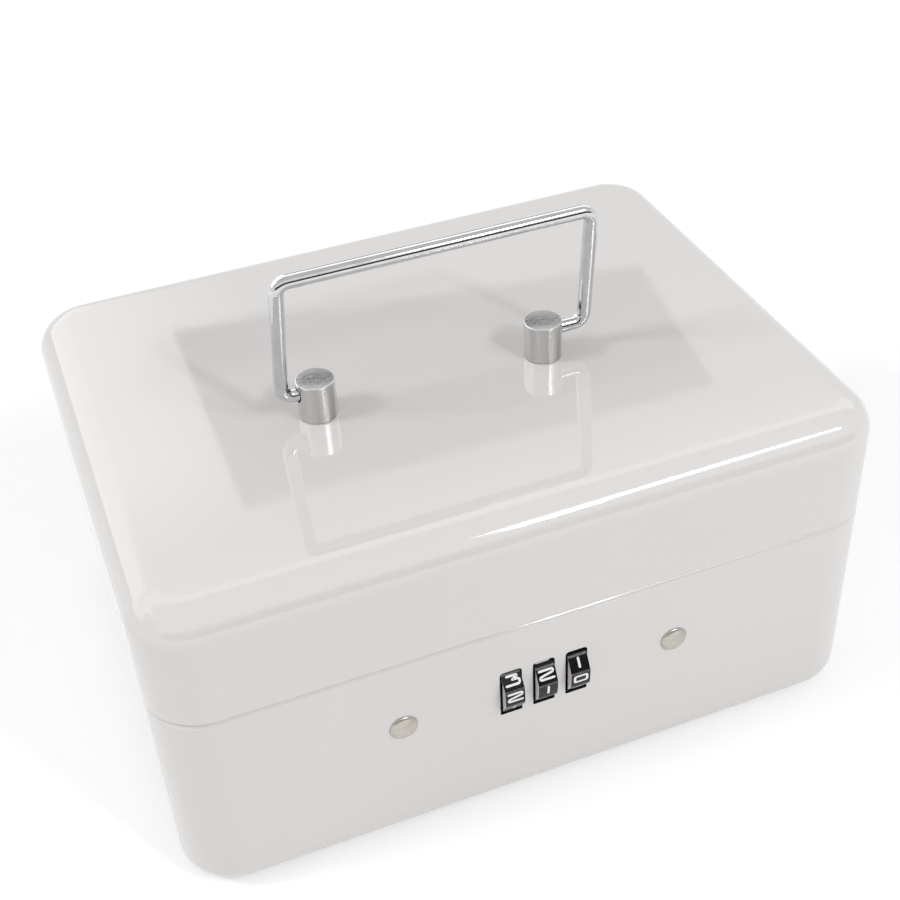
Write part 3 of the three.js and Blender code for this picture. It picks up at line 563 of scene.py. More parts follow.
def slot_edge_painted_shade():
    """Painted shade on the cut edges round the dials: near black and dull, standing in for the shade
    inside the slots.
    """
    finish = Finish("slot_edge_painted_shade", colour=(0.015, 0.015, 0.015))
    base = finish.colours(finish.noise(900, 3), (0.008, 0.008, 0.008), (0.022, 0.021, 0.02))
    roughness = finish.between(finish.noise(1200, 2), 0.5, 0.7)
    finish.set(Base_Color=base, Roughness=roughness, Normal=finish.bump(finish.noise(2000, 2), 4e-6))
    finish.dull(0.2)
    return finish.material


def number_ink():
    """White ink on the raised numbers, a little uneven."""
    finish = Finish("number_ink", colour=(0.92, 0.92, 0.91))
    base = finish.colours(finish.noise(1800, 3), (0.88, 0.88, 0.87), (0.95, 0.95, 0.945))
    finish.set(Base_Color=base, Roughness=finish.between(finish.noise(1200), 0.35, 0.5))
    finish.set(Normal=finish.bump(finish.noise(2500, 2), 5e-6))
    return finish.material


PAINT = white_paint()
SATIN = satin_chrome()
CHROME = bright_chrome()
PLASTIC = black_plastic()
# Lighter ridge finish: fingertip wear and a painted highlight along the dial ridges
RIDGE = ridge_wear_and_painted_highlight()
FLANK = metal("dial_flank", (0.62, 0.61, 0.6), (0.76, 0.75, 0.73), (0.1, 0.2), 1200, 1.5e-6)
INK = number_ink()
# Painted shade: the slots' cut edges take a near-black colour for the shade inside the slots
EDGE = slot_edge_painted_shade()
NICKEL = metal("nickel_plate", (0.42, 0.4, 0.36), (0.56, 0.53, 0.48), (0.26, 0.4), 1500, 4e-6)
ZINC = metal(
    "zinc_plate", (0.44, 0.45, 0.46), (0.6, 0.61, 0.62), (0.28, 0.45), 900, 4e-6,
    edges=(0.74, 0.75, 0.76),
)
CAST = metal(
    "cast_zinc", (0.33, 0.34, 0.345), (0.46, 0.47, 0.475), (0.42, 0.6), 1300, 1.2e-5,
    edges=(0.6, 0.61, 0.61),
)
STEEL = metal(
    "drawn_steel", (0.42, 0.43, 0.44), (0.56, 0.57, 0.58), (0.2, 0.35), 1, 2e-6,
    stretch=(80, 2400, 2400),
)
SPRING = metal("spring_steel", (0.2, 0.2, 0.21), (0.32, 0.32, 0.33), (0.25, 0.4), 1600, 2e-6)


# Painted body and lid

body_low, body_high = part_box("body_shell")
lid_low, lid_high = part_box("lid_shell")
dial_low, dial_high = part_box("dial_middle")
LOCK_HEIGHT = (dial_low.z + dial_high.z) / 2
DIAL_AXIS_Y = (dial_low.y + dial_high.y) / 2
LID_WALL_TOP = lid_high.z - EDGE_RADIUS


def box_outline(inset, z):
    """The box outline at a height, drawn in by an inset all round."""
    radius = CORNER_RADIUS - inset
    half_length = body_high.x - CORNER_RADIUS
    half_depth = body_high.y - CORNER_RADIUS
    points = []
    for corner, (sx, sy) in enumerate([(1, 1), (-1, 1), (-1, -1), (1, -1)]):
        for i in range(CORNER_STEPS + 1):
            angle = (corner + i / CORNER_STEPS) * math.pi / 2
            x = sx * half_length + radius * math.cos(angle)
            y = sy * half_depth + radius * math.sin(angle)
            points.append(Vector((x, y, z)))
    return points


def quarter(inset, z, radius, start, end, steps):
    """Quarter round in (inset, z) pairs about a centre."""
    points = []
    for i in range(steps + 1):
        angle = math.radians(start + (end - start) * i / steps)
        points.append((inset - radius * math.cos(angle), z + radius * math.sin(angle)))
    return points


def hinge_notch(hinge):
    low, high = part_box("hinge_pin_" + hinge)
    axis = (low + high) / 2
    return block(
        "notch",
        (low.x - NOTCH_SIDE_GAP, body_high.y - NOTCH_DEPTH, axis.z - NOTCH_HALF_HEIGHT),
        (high.x + NOTCH_SIDE_GAP, body_high.y + CUT_OVERRUN, axis.z + NOTCH_HALF_HEIGHT),
    )


def dial_slot(dial):
    half_width = SLOT_WIDTH / 2
    half_height = SLOT_HEIGHT / 2
    upper = [(-half_width, 0), (-half_width, half_height), (half_width, half_height), (half_width, 0)]
    lower = [(half_width, 0), (half_width, -half_height), (-half_width, -half_height), (-half_width, 0)]
    outline = rounded_profile(upper, SLOT_TOP_CORNER, SLOT_CORNER_STEPS)[1:]
    outline += rounded_profile(lower, SLOT_LOW_CORNER, SLOT_CORNER_STEPS)[1:]
    x = middle("dial_" + dial).x
    ys = (body_low.y - CUT_OVERRUN, body_low.y + SHEET + CUT_OVERRUN)
    return lofted("slot", [[(x + p.x, y, LOCK_HEIGHT + p.y) for p in outline] for y in ys])


def paint_shade_on_slot_edges(body):
    """The sheet's cut faces inside the dial slots take the second material, a painted shade in near
    black.
    """
    half_width = SLOT_WIDTH / 2 + SHEET_EDGE_ROUND
    half_height = SLOT_HEIGHT / 2 + SHEET_EDGE_ROUND
    dial_xs = [middle("dial_" + dial).x for dial in DIAL_TURNS]
    for face in body.data.polygons:
        place = face.center
        in_wall = body_low.y < place.y < body_low.y + SHEET and abs(place.z - LOCK_HEIGHT) < half_height
        beside_dial = min(abs(place.x - x) for x in dial_xs) < half_width
        if in_wall and beside_dial and abs(face.normal.y) < SLOT_LEVEL_SHARE:
            face.material_index = 1


def make_body():
    shoulder = SHEET + SHOULDER_INNER_RADIUS
    drop = PARTING_HEIGHT - shoulder
    profile = quarter(EDGE_RADIUS, EDGE_RADIUS, EDGE_RADIUS, -90, 0, EDGE_STEPS)
    profile += quarter(shoulder, drop, shoulder, 0, 90, SHOULDER_STEPS)
    profile += [(RIM_INSET, PARTING_HEIGHT), (RIM_INSET, body_high.z)]
    profile += [(RIM_INSET + SHEET, body_high.z), (RIM_INSET + SHEET, PARTING_HEIGHT - SHEET)]
    profile += quarter(shoulder, drop, SHOULDER_INNER_RADIUS, 90, 0, SHOULDER_STEPS)
    profile += quarter(EDGE_RADIUS, EDGE_RADIUS, EDGE_RADIUS - SHEET, 0, -90, EDGE_STEPS)
    body = lofted("fine_body_shell", [box_outline(*pair) for pair in profile])
    cutters = [dial_slot(dial) for dial in DIAL_TURNS]
    for side in ("left", "right"):
        rivet = middle("lock_rivet_" + side)
        ends = (body_low.y - CUT_OVERRUN, body_low.y + SHEET + CUT_OVERRUN)
        cutters.append(in_place(bored("Y", RIVET_HOLE_RADIUS, ends), rivet.x, 0, rivet.z))
        cutters.append(hinge_notch(side))
    cut(body, cutters)
    round_edges(body, SHEET_EDGE_ROUND)
    # Painted shade on the slots' cut faces, coloured near black
    paint_shade_on_slot_edges(body)
    finish_piece(body, "body_shell", "box", "white_paint", PAINT, EDGE)


def make_lid():
    inner = EDGE_RADIUS - SHEET
    profile = quarter(EDGE_RADIUS, LID_WALL_TOP, inner, 90, 0, EDGE_STEPS)
    profile += [(SHEET, lid_low.z), (0, lid_low.z)]
    profile += quarter(EDGE_RADIUS, LID_WALL_TOP, EDGE_RADIUS, 0, 90, EDGE_STEPS)
    lid = lofted("fine_lid_shell", [box_outline(*pair) for pair in profile])
    rear_edge = middle("hinge_pin_left").z + REAR_RELIEF
    cutters = [block(
        "relief",
        (lid_low.x - CUT_OVERRUN, lid_high.y - REAR_RELIEF_DEPTH, lid_low.z - CUT_OVERRUN),
        (lid_high.x + CUT_OVERRUN, lid_high.y + CUT_OVERRUN, rear_edge),
    )]
    for side in ("left", "right"):
        post = middle("handle_post_" + side)
        ends = (lid_high.z - SHEET - CUT_OVERRUN, lid_high.z + CUT_OVERRUN)
        cutters.append(in_place(bored("Z", SCREW_HOLE_RADIUS, ends), post.x, post.y))
        cutters.append(hinge_notch(side))
    cut(lid, cutters)
    round_edges(lid, SHEET_EDGE_ROUND)
    finish_piece(lid, "lid_shell", "lid", "white_paint", PAINT)


# Handle

def make_post(side):
    node = "handle_post_" + side
    low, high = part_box(node)
    centre = (low + high) / 2
    radius = (high.x - low.x) / 2
    outline = [(0, low.z), (radius, low.z), (radius, high.z), (0, high.z)]
    profile = rounded_profile(outline, POST_EDGE_BREAK, POST_EDGE_STEPS)
    post = lathed("fine_" + node, "Z", profile, POST_SIDES)
    outward = -1 if side == "left" else 1
    bore_ends = sorted((-outward * BORE_BACK, outward * (radius + CUT_OVERRUN)))
    bore = in_place(bored("X", BORE_RADIUS, bore_ends, BORE_SIDES), 0, 0, lid_high.z + PIVOT_HEIGHT)
    tap = bored("Z", TAP_RADIUS, (low.z - CUT_OVERRUN, lid_high.z + TAP_DEPTH))
    cut(post, [bore, tap])
    round_edges(post, BORE_EDGE_ROUND, BORE_ROUNDED_FROM)
    in_place(post, centre.x, centre.y)
    finish_piece(post, node, "lid", "satin_chrome", SATIN)


def bail_points():
    """The wire's middle line, from the end in the left post round to the right one."""
    left = middle("handle_post_left")
    right = middle("handle_post_right")
    low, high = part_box("handle_bail")
    pivot = Vector(((low.x + high.x) / 2, left.y, lid_high.z + PIVOT_HEIGHT))
    up = Vector((0, -math.sin(BAIL_LEAN), math.cos(BAIL_LEAN)))
    inner = (right.x - left.x) / 2
    far = BAIL_WIDTH / 2 - BAIL_BEND
    bottom = BAIL_BEND
    top = BAIL_REACH - BAIL_BEND
    drawn_in = (top - bottom) * math.tan(BAIL_LEFT_LEG_LEAN)
    left_leg = math.pi / 2 - BAIL_LEFT_LEG_LEAN
    bends = [
        (-far, bottom, math.pi, left_leg),
        (drawn_in - far, top, left_leg, 0),
        (far, top, 0, -math.pi / 2),
        (far, bottom, -math.pi / 2, -math.pi),
    ]
    places = [(-inner, 0)]
    for x, height, start, end in bends:
        outward = math.copysign(math.pi / 2, start - end)
        for i in range(BAIL_BEND_STEPS + 1):
            angle = start + (end - start) * i / BAIL_BEND_STEPS + outward
            places.append((x + BAIL_BEND * math.cos(angle), height + BAIL_BEND * math.sin(angle)))
    places.append((inner, 0))
    return [pivot + Vector((x, 0, 0)) + up * height for x, height in places]


def make_bail():
    bail = tube("fine_handle_bail", bail_points(), WIRE_RADIUS, WIRE_SIDES, BAIL_END_ROUND)
    finish_piece(bail, "handle_bail", "bail", "bright_chrome", CHROME, sharp_from=WIRE_SHARP_FROM)


def cross_recess(low, high):
    arm = RECESS_WIDTH / 2
    return [
        block("recess", (-RECESS_ARM, -arm, low), (RECESS_ARM, arm, high)),
        block("recess", (-arm, -RECESS_ARM, low), (arm, RECESS_ARM, high)),
    ]


def make_handle_washer(side):
    node = "handle_washer_" + side
    low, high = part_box(node)
    centre = (low + high) / 2
    radius = (high.x - low.x) / 2
    inner = SCREW_HOLE_RADIUS
    corners = [(inner, low.z), (radius, low.z), (radius, high.z), (inner, high.z)]
    outline = rounded_profile(corners, SMALL_ROUND, WASHER_EDGE_STEPS, closed=True)
    washer = lathed("fine_" + node, "Z", outline + outline[:1], HANDLE_FIXING_SIDES)
    finish_piece(in_place(washer, centre.x, centre.y), node, "lid", "zinc_plate", ZINC)


def make_handle_screw(side):
    node = "handle_screw_" + side
    low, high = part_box(node)
    centre = (low + high) / 2
    under = low.z + SCREW_HEAD_HEIGHT
    middle_of_head = low.z + SCREW_HEAD_HEIGHT / 2
    outline = [
        (0, low.z),
        (SCREW_HEAD_RADIUS - SCREW_HEAD_HEIGHT / 2, low.z),
        (SCREW_HEAD_RADIUS, middle_of_head),
        (SCREW_HEAD_RADIUS, under),
        (SCREW_SHANK_RADIUS, under),
        (SCREW_SHANK_RADIUS, high.z),
        (0, high.z),
    ]
    screw = lathed("fine_" + node, "Z", rounded_profile(outline, 2 * SMALL_ROUND), HANDLE_FIXING_SIDES)
    cut(screw, cross_recess(low.z - CUT_OVERRUN, middle_of_head))
    finish_piece(in_place(screw, centre.x, centre.y), node, "lid", "zinc_plate", ZINC)


# Dials with their numbers

# Each number's strokes: share of the height that rounds the corners, closed or not, points as shares
NUMBER_SHARES = {
    0: [(0.14, True, [(-0.92, 0.84), (0.92, 0.84), (0.92, -0.84), (-0.92, -0.84)])],
    1: [(0, False, [(0, 1), (0, -1)])],
    2: [(0.3, False, [(-1, 1), (1, 1), (1, 0.34), (-1, -0.34), (-1, -1), (1, -1)])],
    3: [
        (0.06, False, [(-0.7, 1), (0.92, 1), (0.02, 0.16), (0.36, 0.16)]),
        (0.34, False, [(0.02, 0.16), (1, 0.16), (1, -1), (-1, -1)]),
    ],
    4: [(0.08, False, [(0.45, 1), (0.45, -1)]), (0.12, False, [(0.45, 1), (-1, -0.35), (1, -0.35)])],
    5: [(0.3, False, [(1, 1), (-1, 1), (-1, 0.15), (1, 0.15), (1, -1), (-1, -1)])],
    6: [(0.3, False, [(0.9, 1), (-1, 1), (-1, -1), (1, -1), (1, 0.05), (-1, 0.05)])],
    7: [(0.08, False, [(-1, 1), (0.95, 1), (-0.2, -1)])],
    8: [(0.26, True, [(-1, 1), (1, 1), (1, -1), (-1, -1)]), (0, False, [(-1, 0.05), (1, 0.05)])],
    9: [(0.3, False, [(-0.9, -1), (1, -1), (1, 1), (-1, 1), (-1, -0.05), (1, -0.05)])],
}


def refined(path, closed):
    """The same path with points close enough to bend over a crowned flat."""
    fine = []
    for i, point in enumerate(path):
        fine.append(point)
        if closed or i + 1 < len(path):
            far = path[(i + 1) % len(path)]
            pieces = math.ceil((far - point).length / NUMBER_STEP)
            fine += [point.lerp(far, k / pieces) for k in range(1, pieces)]
    return fine


def stroke_faces(points, closed, radius):
    """Quads along a stroke of constant width, with round ends."""
    half = NUMBER_STROKE / 2
    path = refined(rounded_profile(points, radius, STROKE_CORNER_STEPS, closed), closed)
    count = len(path)
    sides = []
    for i in range(count):
        near = path[i - 1] if closed or i else path[i]
        far = path[(i + 1) % count] if closed or i + 1 < count else path[i]
        along = (far - near).normalized()
        across = Vector((-along.y, along.x)) * half
        sides.append((path[i] + across, path[i] - across, along))
    faces = []
    for i in range(count if closed else count - 1):
        j = (i + 1) % count
        faces.append([sides[i][0], sides[i][1], sides[j][1], sides[j][0]])
    if not closed:
        for end, sign in ((0, -1), (count - 1, 1)):
            left, right, along = sides[end]
            cap = []
            for k in range(STROKE_CAP_STEPS + 1):
                turn = k / STROKE_CAP_STEPS * math.pi
                across = (left - right) / 2 * math.cos(turn)
                cap.append(path[end] + across + along * (sign * half * math.sin(turn)))
            faces.append(cap)
    return faces


def dial_reach(angle):
    """The skin's distance from the dial's axis, at an angle from the middle of a crowned flat."""
    flat = DIAL_RADIUS * math.cos(DIAL_FACE_ANGLE / 2) / math.cos(angle)
    return flat + (DIAL_RADIUS - flat) * DIAL_CROWN_SHARE


def over_skin(elevation, place, rise):
    """A place on a flat, raised: x runs across the dial and y up along its skin."""
    angle = place.y / DIAL_RADIUS
    reach = dial_reach(angle) + rise
    return Vector((place.x, -reach * math.cos(elevation + angle), reach * math.sin(elevation + angle)))


def add_number(bm, number, elevation):
    """Number solids on one flat of a dial, at an elevation about the dial's axis."""
    out = Vector((0, -math.cos(elevation), math.sin(elevation)))
    scale_x = (NUMBER_WIDTH - NUMBER_STROKE) / 2
    scale_y = (NUMBER_HEIGHT - NUMBER_STROKE) / 2
    for order, (round_share, closed, points) in enumerate(NUMBER_SHARES[number]):
        scaled = [(x * scale_x, y * scale_y + NUMBER_LIFT) for x, y in points]
        rise = NUMBER_RISE - order * LATER_STROKE_DROP
        part = bmesh.new()
        for face in stroke_faces(scaled, closed, round_share * NUMBER_HEIGHT):
            part.faces.new([part.verts.new(over_skin(elevation, place, rise)) for place in face])
        bmesh.ops.remove_doubles(part, verts=part.verts, dist=WELD)
        grown = bmesh.ops.extrude_face_region(part, geom=part.faces[:], use_keep_orig=True)["geom"]
        moved = [item for item in grown if isinstance(item, bmesh.types.BMVert)]
        bmesh.ops.translate(part, verts=moved, vec=-out * (NUMBER_RISE + NUMBER_SUNK))
        bmesh.ops.recalc_face_normals(part, faces=part.faces)
        copies = {vert: bm.verts.new(vert.co) for vert in part.verts}
        for face in part.faces:
            bm.faces.new([copies[vert] for vert in face.verts]).material_index = INK_PART
        part.free()


def dial_rings(half, turn):
    """The dial's outer form: ten crowned flats that meet in low ridges, and rounded rims."""
    outline = []
    for face in range(DIAL_FACES):
        for step in range(DIAL_FACE_STEPS):
            across = (step / DIAL_FACE_STEPS - 0.5) * DIAL_FACE_ANGLE
            angle = turn + (face + 0.5) * DIAL_FACE_ANGLE + across
            outline.append(Vector((math.cos(angle), math.sin(angle))) * dial_reach(across))
    rim = []
    for i in range(DIAL_RIM_STEPS + 1):
        angle = i / DIAL_RIM_STEPS * math.pi / 2
        station = half - DIAL_RIM_ROUND * (1 - math.sin(angle))
        rim.append((station, DIAL_RIM_ROUND * (1 - math.cos(angle))))
    stations = [(-station, inset) for station, inset in reversed(rim)] + rim
    rings = []
    for station, inset in stations:
        share = (DIAL_RADIUS - inset) / DIAL_RADIUS
        rings.append([Vector((station, p.x * share, p.y * share)) for p in outline])
    return rings


def mark_ridges(bm, turn):
    """Sets the flanks apart, and the bands where two crowned flats meet."""
    skin = DIAL_RADIUS * math.cos(DIAL_FACE_ANGLE / 2)
    for face in bm.faces:
        face.material_index = FLANK_PART if abs(face.normal.x) > FLANK_LEVEL_SHARE else PLASTIC_PART
        place = face.calc_center_median()
        lengthwise = abs(face.normal.x) < RIDGE_LEVEL_SHARE
        past_ridge = (math.atan2(place.z, place.y) - turn) % DIAL_FACE_ANGLE
        from_ridge = min(past_ridge, DIAL_FACE_ANGLE - past_ridge)
        if lengthwise and place.yz.length > skin and from_ridge < RIDGE_HALF_ANGLE:
            # The ridge bands take the lighter finish, wear and a painted highlight
            face.material_index = RIDGE_PART


def make_dial(dial):
    node = "dial_" + dial
    low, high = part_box(node)
    half = (high.x - low.x) / 2
    turn = math.pi - math.radians(DIAL_TURNS[dial])
    obj = lofted("fine_" + node, dial_rings(half, turn))
    ends = (-half - CUT_OVERRUN, half + CUT_OVERRUN)
    cutters = [bored("X", DIAL_BORE_RADIUS, ends, BORE_SIDES)]
    slot_half = KEY_SLOT_WIDTH / 2
    for i in range(KEY_SLOTS):
        slot = block(
            "key_slot",
            (half - KEY_SLOT_DEPTH, KEY_SLOT_INNER, -slot_half),
            (half + CUT_OVERRUN, KEY_SLOT_OUTER, slot_half),
        )
        slot.data.transform(Matrix.Rotation(turn + i / KEY_SLOTS * math.tau, 4, "X"))
        cutters.append(slot)
    cut(obj, cutters)
    bm = bmesh.new()
    bm.from_mesh(obj.data)
    mark_ridges(bm, turn)
    step = 360 / DIAL_FACES
    for number in range(DIAL_FACES):
        degrees = DIAL_TURNS[dial] + step / 2 + step * (number - TOP_NUMBERS[dial])
        add_number(bm, number, math.radians(degrees))
    bm.to_mesh(obj.data)
    bm.free()
    in_place(obj, middle(node).x, DIAL_AXIS_Y, LOCK_HEIGHT)
    parts = (PLASTIC, RIDGE, FLANK, INK)
    finish_piece(obj, node, node, "black_plastic", *parts, sharp_from=DIAL_SHARP_FROM)


# Lock fixings and inner pieces

def make_rivet(side):
    node = "lock_rivet_" + side
    low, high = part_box(node)
    centre = (low + high) / 2
    seat = low.y + RIVET_HEAD_HEIGHT
    tail = high.y - RIVET_TAIL_HEIGHT
    dome = [(RIVET_HEAD_RADIUS * out, seat - RIVET_HEAD_HEIGHT * up) for out, up in RIVET_DOME_SHARES]
    profile = rounded_profile(dome, RIVET_HEAD_RADIUS)
    profile += [
        (RIVET_HEAD_RADIUS, seat),
        (RIVET_SHANK_RADIUS, seat),
        (RIVET_SHANK_RADIUS, tail),
        (RIVET_TAIL_RADIUS, tail),
    ]
    for inset, up in RIVET_TAIL_SHARES:
        profile.append((RIVET_TAIL_RADIUS - RIVET_TAIL_HEIGHT * inset, tail + RIVET_TAIL_HEIGHT * up))
    profile.append((0, high.y))
    rivet = lathed("fine_" + node, "Y", profile, RIVET_SIDES)
    finish_piece(in_place(rivet, centre.x, 0, centre.z), node, "box", "nickel", NICKEL)


def make_cover_screw(side):
    node = "cover_screw_" + side
    low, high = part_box(node)
    centre = (low + high) / 2
    seat = high.y - COVER_SCREW_HEAD_HEIGHT
    outline = [
        (0, low.y),
        (COVER_SCREW_RADIUS, low.y),
        (COVER_SCREW_RADIUS, seat),
        (COVER_SCREW_HEAD_RADIUS, seat),
        (COVER_SCREW_HEAD_RADIUS, high.y - COVER_SCREW_HEAD_HEIGHT / 2),
        (COVER_SCREW_RADIUS, high.y),
        (0, high.y),
    ]
    screw = lathed("fine_" + node, "Y", rounded_profile(outline, 2 * SMALL_ROUND), SMALL_SIDES)
    arm = COVER_RECESS_WIDTH / 2
    reach = COVER_SCREW_RADIUS
    cutters = []
    for x, z in ((arm, reach), (reach, arm)):
        recess_low = (-x, high.y - COVER_SCREW_HEAD_HEIGHT / 2, -z)
        cutters.append(block("recess", recess_low, (x, high.y + CUT_OVERRUN, z)))
    cut(screw, cutters)
    finish_piece(in_place(screw, centre.x, 0, centre.z), node, "box", "zinc_plate", ZINC)


def make_rod(node):
    """A plain rod along X with broken end edges."""
    low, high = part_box(node)
    centre = (low + high) / 2
    radius = (high.z - low.z) / 2
    half = (high.x - low.x) / 2
    outline = [(0, -half), (radius, -half), (radius, half), (0, half)]
    rod = lathed("fine_" + node, "X", rounded_profile(outline, 2 * SMALL_ROUND), SMALL_SIDES)
    finish_piece(in_place(rod, *centre), node, "box", "bright_steel", STEEL)


def helix(turns, start, end, radius, y, z):
    points = []
    steps = turns * SPRING_STEPS_PER_TURN
    for i in range(steps + 1):
        angle = i / SPRING_STEPS_PER_TURN * math.tau
        x = start + (end - start) * i / steps
        points.append(Vector((x, y + radius * math.cos(angle), z + radius * math.sin(angle))))
    return points


def make_return_spring():
    node = "sleeve_return_spring"
    low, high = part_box(node)
    axis = middle("dial_axle")
    radius = (high.z - low.z) / 2 - SPRING_WIRE_RADIUS
    ends = (low.x + SPRING_WIRE_RADIUS, high.x - SPRING_WIRE_RADIUS)
    points = helix(RETURN_SPRING_TURNS, *ends, radius, axis.y, axis.z)
    spring = tube("fine_" + node, points, SPRING_WIRE_RADIUS, SPRING_SIDES)
    finish_piece(spring, node, "box", "spring_steel", SPRING, sharp_from=WIRE_SHARP_FROM)


def make_latch_spring():
    node = "latch_spring"
    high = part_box(node)[1]
    rod_low, rod_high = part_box("latch_rod")
    axis = (rod_low + rod_high) / 2
    radius = (rod_high.z - rod_low.z) / 2 + 2 * SPRING_WIRE_RADIUS
    start = high.x - SPRING_WIRE_RADIUS - LATCH_SPRING_LENGTH
    points = helix(LATCH_SPRING_TURNS, start, start + LATCH_SPRING_LENGTH, radius, axis.y, axis.z)
    leg = points[0] - Vector((0, 0, LATCH_SPRING_LEG))
    tail = points[-1] + Vector((0, 0, LATCH_SPRING_TAIL))
    spring = tube("fine_" + node, [leg, *points, tail], SPRING_WIRE_RADIUS, SPRING_SIDES)
    finish_piece(spring, node, "box", "spring_steel", SPRING, sharp_from=WIRE_SHARP_FROM)


SOFTENED_PIECES = [
    # node, body, slot, material, width of the rounded edges
    ("dial_axle", "box", "bright_steel", STEEL, 0.1 * MM),
    ("axle_clip", "box", "spring_steel", SPRING, 0.08 * MM),
    ("lock_case", "box", "cast_zinc", CAST, 0.2 * MM),
    ("lock_back_cover", "box", "zinc_plate", ZINC, 0.15 * MM),
    ("dial_detent_spring", "box", "spring_steel", SPRING, 0.05 * MM),
    ("latch_lever", "latch", "zinc_plate", ZINC, 0.12 * MM),
    ("code_change_slider", "code_sleeves", "zinc_plate", ZINC, 0.12 * MM),
    ("lid_striker", "lid", "zinc_plate", ZINC, 0.12 * MM),
]


# Floor, light, mirrored cards and camera, in metres

BOX_MIDDLE = Vector((0, 0, TARGET_HEIGHT))
FLOOR_HALF = 4.0
FLOOR_CELLS = 8
FLOOR_GLOW = 0.28
FLOOR_FAR_GLOW = 0.5
FLOOR_GLOW_SPAN = (0.15, 0.8)
WORLD_LIGHT = 0.6
LAMPS = [
    # name, azimuth and elevation in degrees, distance, width, height, watts
    ("key_softbox", 34, 43.5, 0.9, 0.32, 0.13, 1.35),
    ("front_spot", 23, 39.5, 0.9, 0.07, 0.06, 0.85),
    ("left_softbox", -96, 41.5, 1.2, 0.32, 0.2, 3.5),
]
REAR_CARD_OUTLINE = [(0.052, 0.86), (0.475, 0.78), (0.443, 0.586), (0.047, 0.593)]
REAR_CARD_HEIGHT = 0.6
REAR_CARD_GLOW = 0.03
FRONT_CARD_HALF = 2.4
FRONT_CARD_Y = -1.6
FRONT_CARD_TOP = 0.7
FRONT_CARD_GLOW = 0.06
CEILING_OUTLINE = [(-2.4, -0.4), (1.2, -0.4), (1.2, 2.4), (-2.4, 2.4)]
CEILING_HEIGHT = 0.605
REAR_GLOW = 1.3
REAR_GLOW_ACROSS = (0.13, -0.05)
REAR_GLOW_ALONG = (0.52, 0.68)
FRONT_GLOW = 0.9
FRONT_GLOW_ALONG = (0.57, 0.47)
OVERHEAD_LOSS = 1.15
OVERHEAD_LOSS_ALONG = (0.22, 0.12)


def direction(azimuth, elevation):
    """Towards a lamp or camera: azimuth 0 is straight in front of the box."""
    flat = math.cos(elevation)
    return Vector((math.sin(azimuth) * flat, -math.cos(azimuth) * flat, math.sin(elevation)))


def make_floor():
    bm = bmesh.new()
    size = 2 * FLOOR_HALF / FLOOR_CELLS
    for i in range(FLOOR_CELLS):
        for j in range(FLOOR_CELLS):
            x = i * size - FLOOR_HALF
            y = j * size - FLOOR_HALF
            square = [(x, y, 0), (x + size, y, 0), (x + size, y + size, 0), (x, y + size, 0)]
            bm.faces.new([bm.verts.new(point) for point in square])
    floor = link("floor", bm)
    finish = Finish("white_floor")
    finish.set(Base_Color=(0.86, 0.86, 0.86, 1), Roughness=0.9, Emission_Color=(1, 1, 1, 1))
    finish.dull(0)
    reach = finish.add("ShaderNodeVectorMath", {"Vector": finish.place}, operation="LENGTH")
    glow = finish.between(reach.outputs["Value"], FLOOR_GLOW, FLOOR_FAR_GLOW, *FLOOR_GLOW_SPAN)
    finish.set(Emission_Strength=finish.calculate("MULTIPLY", finish.seen_in_view(), glow))
    floor.data.materials.append(finish.material)


def make_world():
    world = bpy.data.worlds.new("white_room")
    bpy.context.scene.world = world
    world.use_nodes = True
    nodes = Nodes(world.node_tree)
    background = nodes.tree.nodes["Background"]
    strength = nodes.between(nodes.seen_in_view(), WORLD_LIGHT, 1, 0, 1)
    nodes.feed(background.inputs["Color"], (1, 1, 1, 1))
    nodes.feed(background.inputs["Strength"], strength)


def make_lamps():
    for name, azimuth, elevation, distance, width, height, watts in LAMPS:
        lamp = bpy.data.lights.new(name, "AREA")
        lamp.shape = "RECTANGLE"
        lamp.size = width
        lamp.size_y = height
        lamp.energy = watts
        obj = bpy.data.objects.new(name, lamp)
        bpy.context.scene.collection.objects.link(obj)
        towards = direction(math.radians(azimuth), math.radians(elevation))
        obj.location = BOX_MIDDLE + towards * distance
        obj.rotation_euler = towards.to_track_quat("Z", "Y").to_euler()


def make_card(name, corners):
    """A card that only shows in gloss and metal. Its finish comes back, to be given its glow."""
    bm = bmesh.new()
    bm.faces.new([bm.verts.new(corner) for corner in corners])
    card = link(name, bm)
    finish = Finish(name)
    finish.set(Base_Color=(0, 0, 0, 1), Emission_Color=(1, 1, 1, 1))
    finish.dull(0)
    card.data.materials.append(finish.material)
    card.visible_camera = False
    card.visible_diffuse = False
    card.visible_shadow = False
    return finish


def make_dark_cards():
    rear = [(x, y, REAR_CARD_HEIGHT) for x, y in REAR_CARD_OUTLINE]
    make_card("rear_card", rear).set(Emission_Strength=REAR_CARD_GLOW)
    front = [
        (-FRONT_CARD_HALF, FRONT_CARD_Y, 0),
        (FRONT_CARD_HALF, FRONT_CARD_Y, 0),
        (FRONT_CARD_HALF, FRONT_CARD_Y, FRONT_CARD_TOP),
        (-FRONT_CARD_HALF, FRONT_CARD_Y, FRONT_CARD_TOP),
    ]
    make_card("front_card", front).set(Emission_Strength=FRONT_CARD_GLOW)


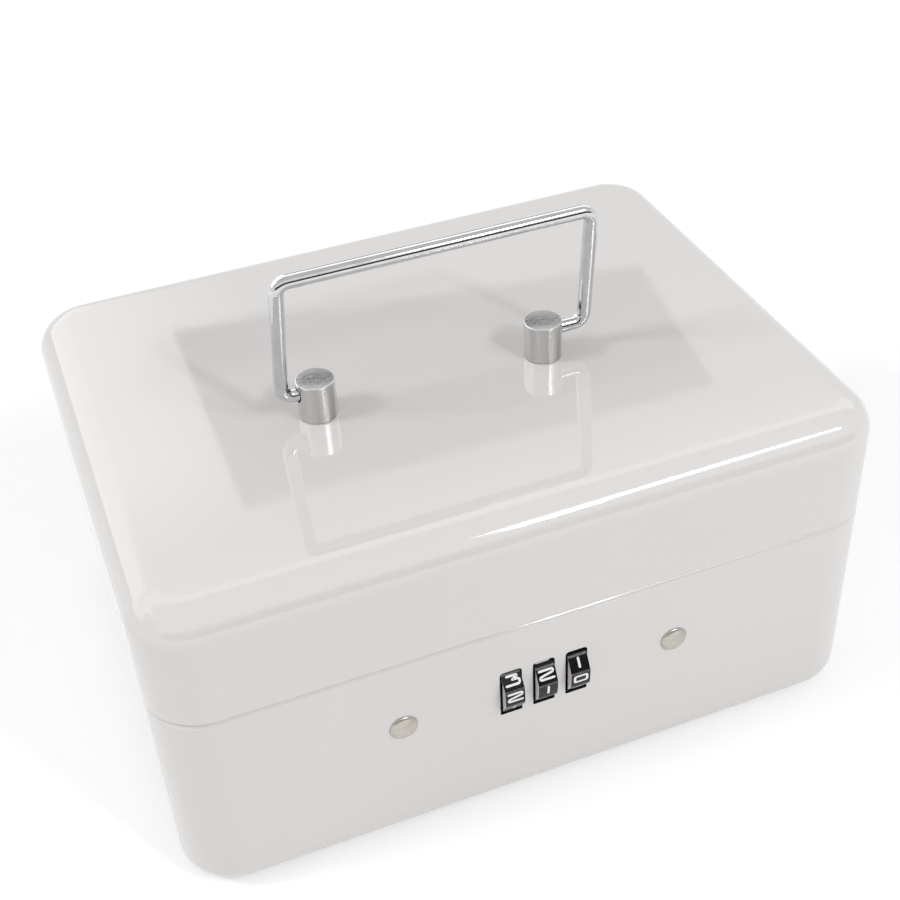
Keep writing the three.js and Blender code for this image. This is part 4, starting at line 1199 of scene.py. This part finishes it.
def make_ceiling_glow():
    """A bright ceiling, dimmer to the rear right and dimmest over the box."""
    finish = make_card("ceiling_glow", [(x, y, CEILING_HEIGHT) for x, y in CEILING_OUTLINE])
    place = finish.add("ShaderNodeSeparateXYZ", {"Vector": finish.place}).outputs
    across = finish.between(place["X"], 0, REAR_GLOW, *REAR_GLOW_ACROSS)
    along = finish.between(place["Y"], 0, 1, *REAR_GLOW_ALONG)
    front = finish.between(place["Y"], 1, 1 + FRONT_GLOW, *FRONT_GLOW_ALONG)
    loss = finish.between(place["Y"], 0, OVERHEAD_LOSS, *OVERHEAD_LOSS_ALONG)
    rest = finish.calculate("SUBTRACT", front, loss)
    finish.set(Emission_Strength=finish.calculate("MULTIPLY_ADD", across, along, rest))


def make_camera():
    back = direction(CAMERA_AZIMUTH, CAMERA_ELEVATION)
    level = Vector((math.cos(CAMERA_AZIMUTH), math.sin(CAMERA_AZIMUTH), 0))
    upright = back.cross(level)
    right = level * math.cos(CAMERA_ROLL) + upright * math.sin(CAMERA_ROLL)
    up = upright * math.cos(CAMERA_ROLL) - level * math.sin(CAMERA_ROLL)
    camera = bpy.data.cameras.new("photo_view")
    camera.sensor_width = SENSOR_WIDTH
    camera.lens = FOCAL_PIXELS / IMAGE_PIXELS * SENSOR_WIDTH
    camera.clip_start = CLIP_START
    obj = bpy.data.objects.new("photo_view", camera)
    bpy.context.scene.collection.objects.link(obj)
    place = BOX_MIDDLE + back * CAMERA_DISTANCE + right * CAMERA_SIDE + up * CAMERA_RISE
    turned = Matrix((right, up, back)).transposed().to_4x4()
    obj.matrix_world = Matrix.Translation(place) @ turned
    bpy.context.scene.camera = obj


# The box, piece by piece, and then its stage

make_body()
make_lid()
make_bail()
make_return_spring()
make_latch_spring()
for side in ("left", "right"):
    make_post(side)
    make_handle_washer(side)
    make_handle_screw(side)
    make_rivet(side)
    make_cover_screw(side)
    make_rod("hinge_pin_" + side)
    make_softened("hinge_body_leaf_" + side, "box", "zinc_plate", ZINC, LEAF_EDGE_ROUND)
    make_softened("hinge_lid_leaf_" + side, "lid", "zinc_plate", ZINC, LEAF_EDGE_ROUND)
make_rod("latch_rod")
for dial in DIAL_TURNS:
    make_dial(dial)
    make_softened("code_sleeve_" + dial, "code_sleeves", "cast_zinc", CAST, SLEEVE_EDGE_ROUND)
for piece in SOFTENED_PIECES:
    make_softened(*piece)
make_floor()
make_world()
make_lamps()
make_dark_cards()
make_ceiling_glow()
make_camera()
bpy.context.scene.view_settings.view_transform = "Standard"
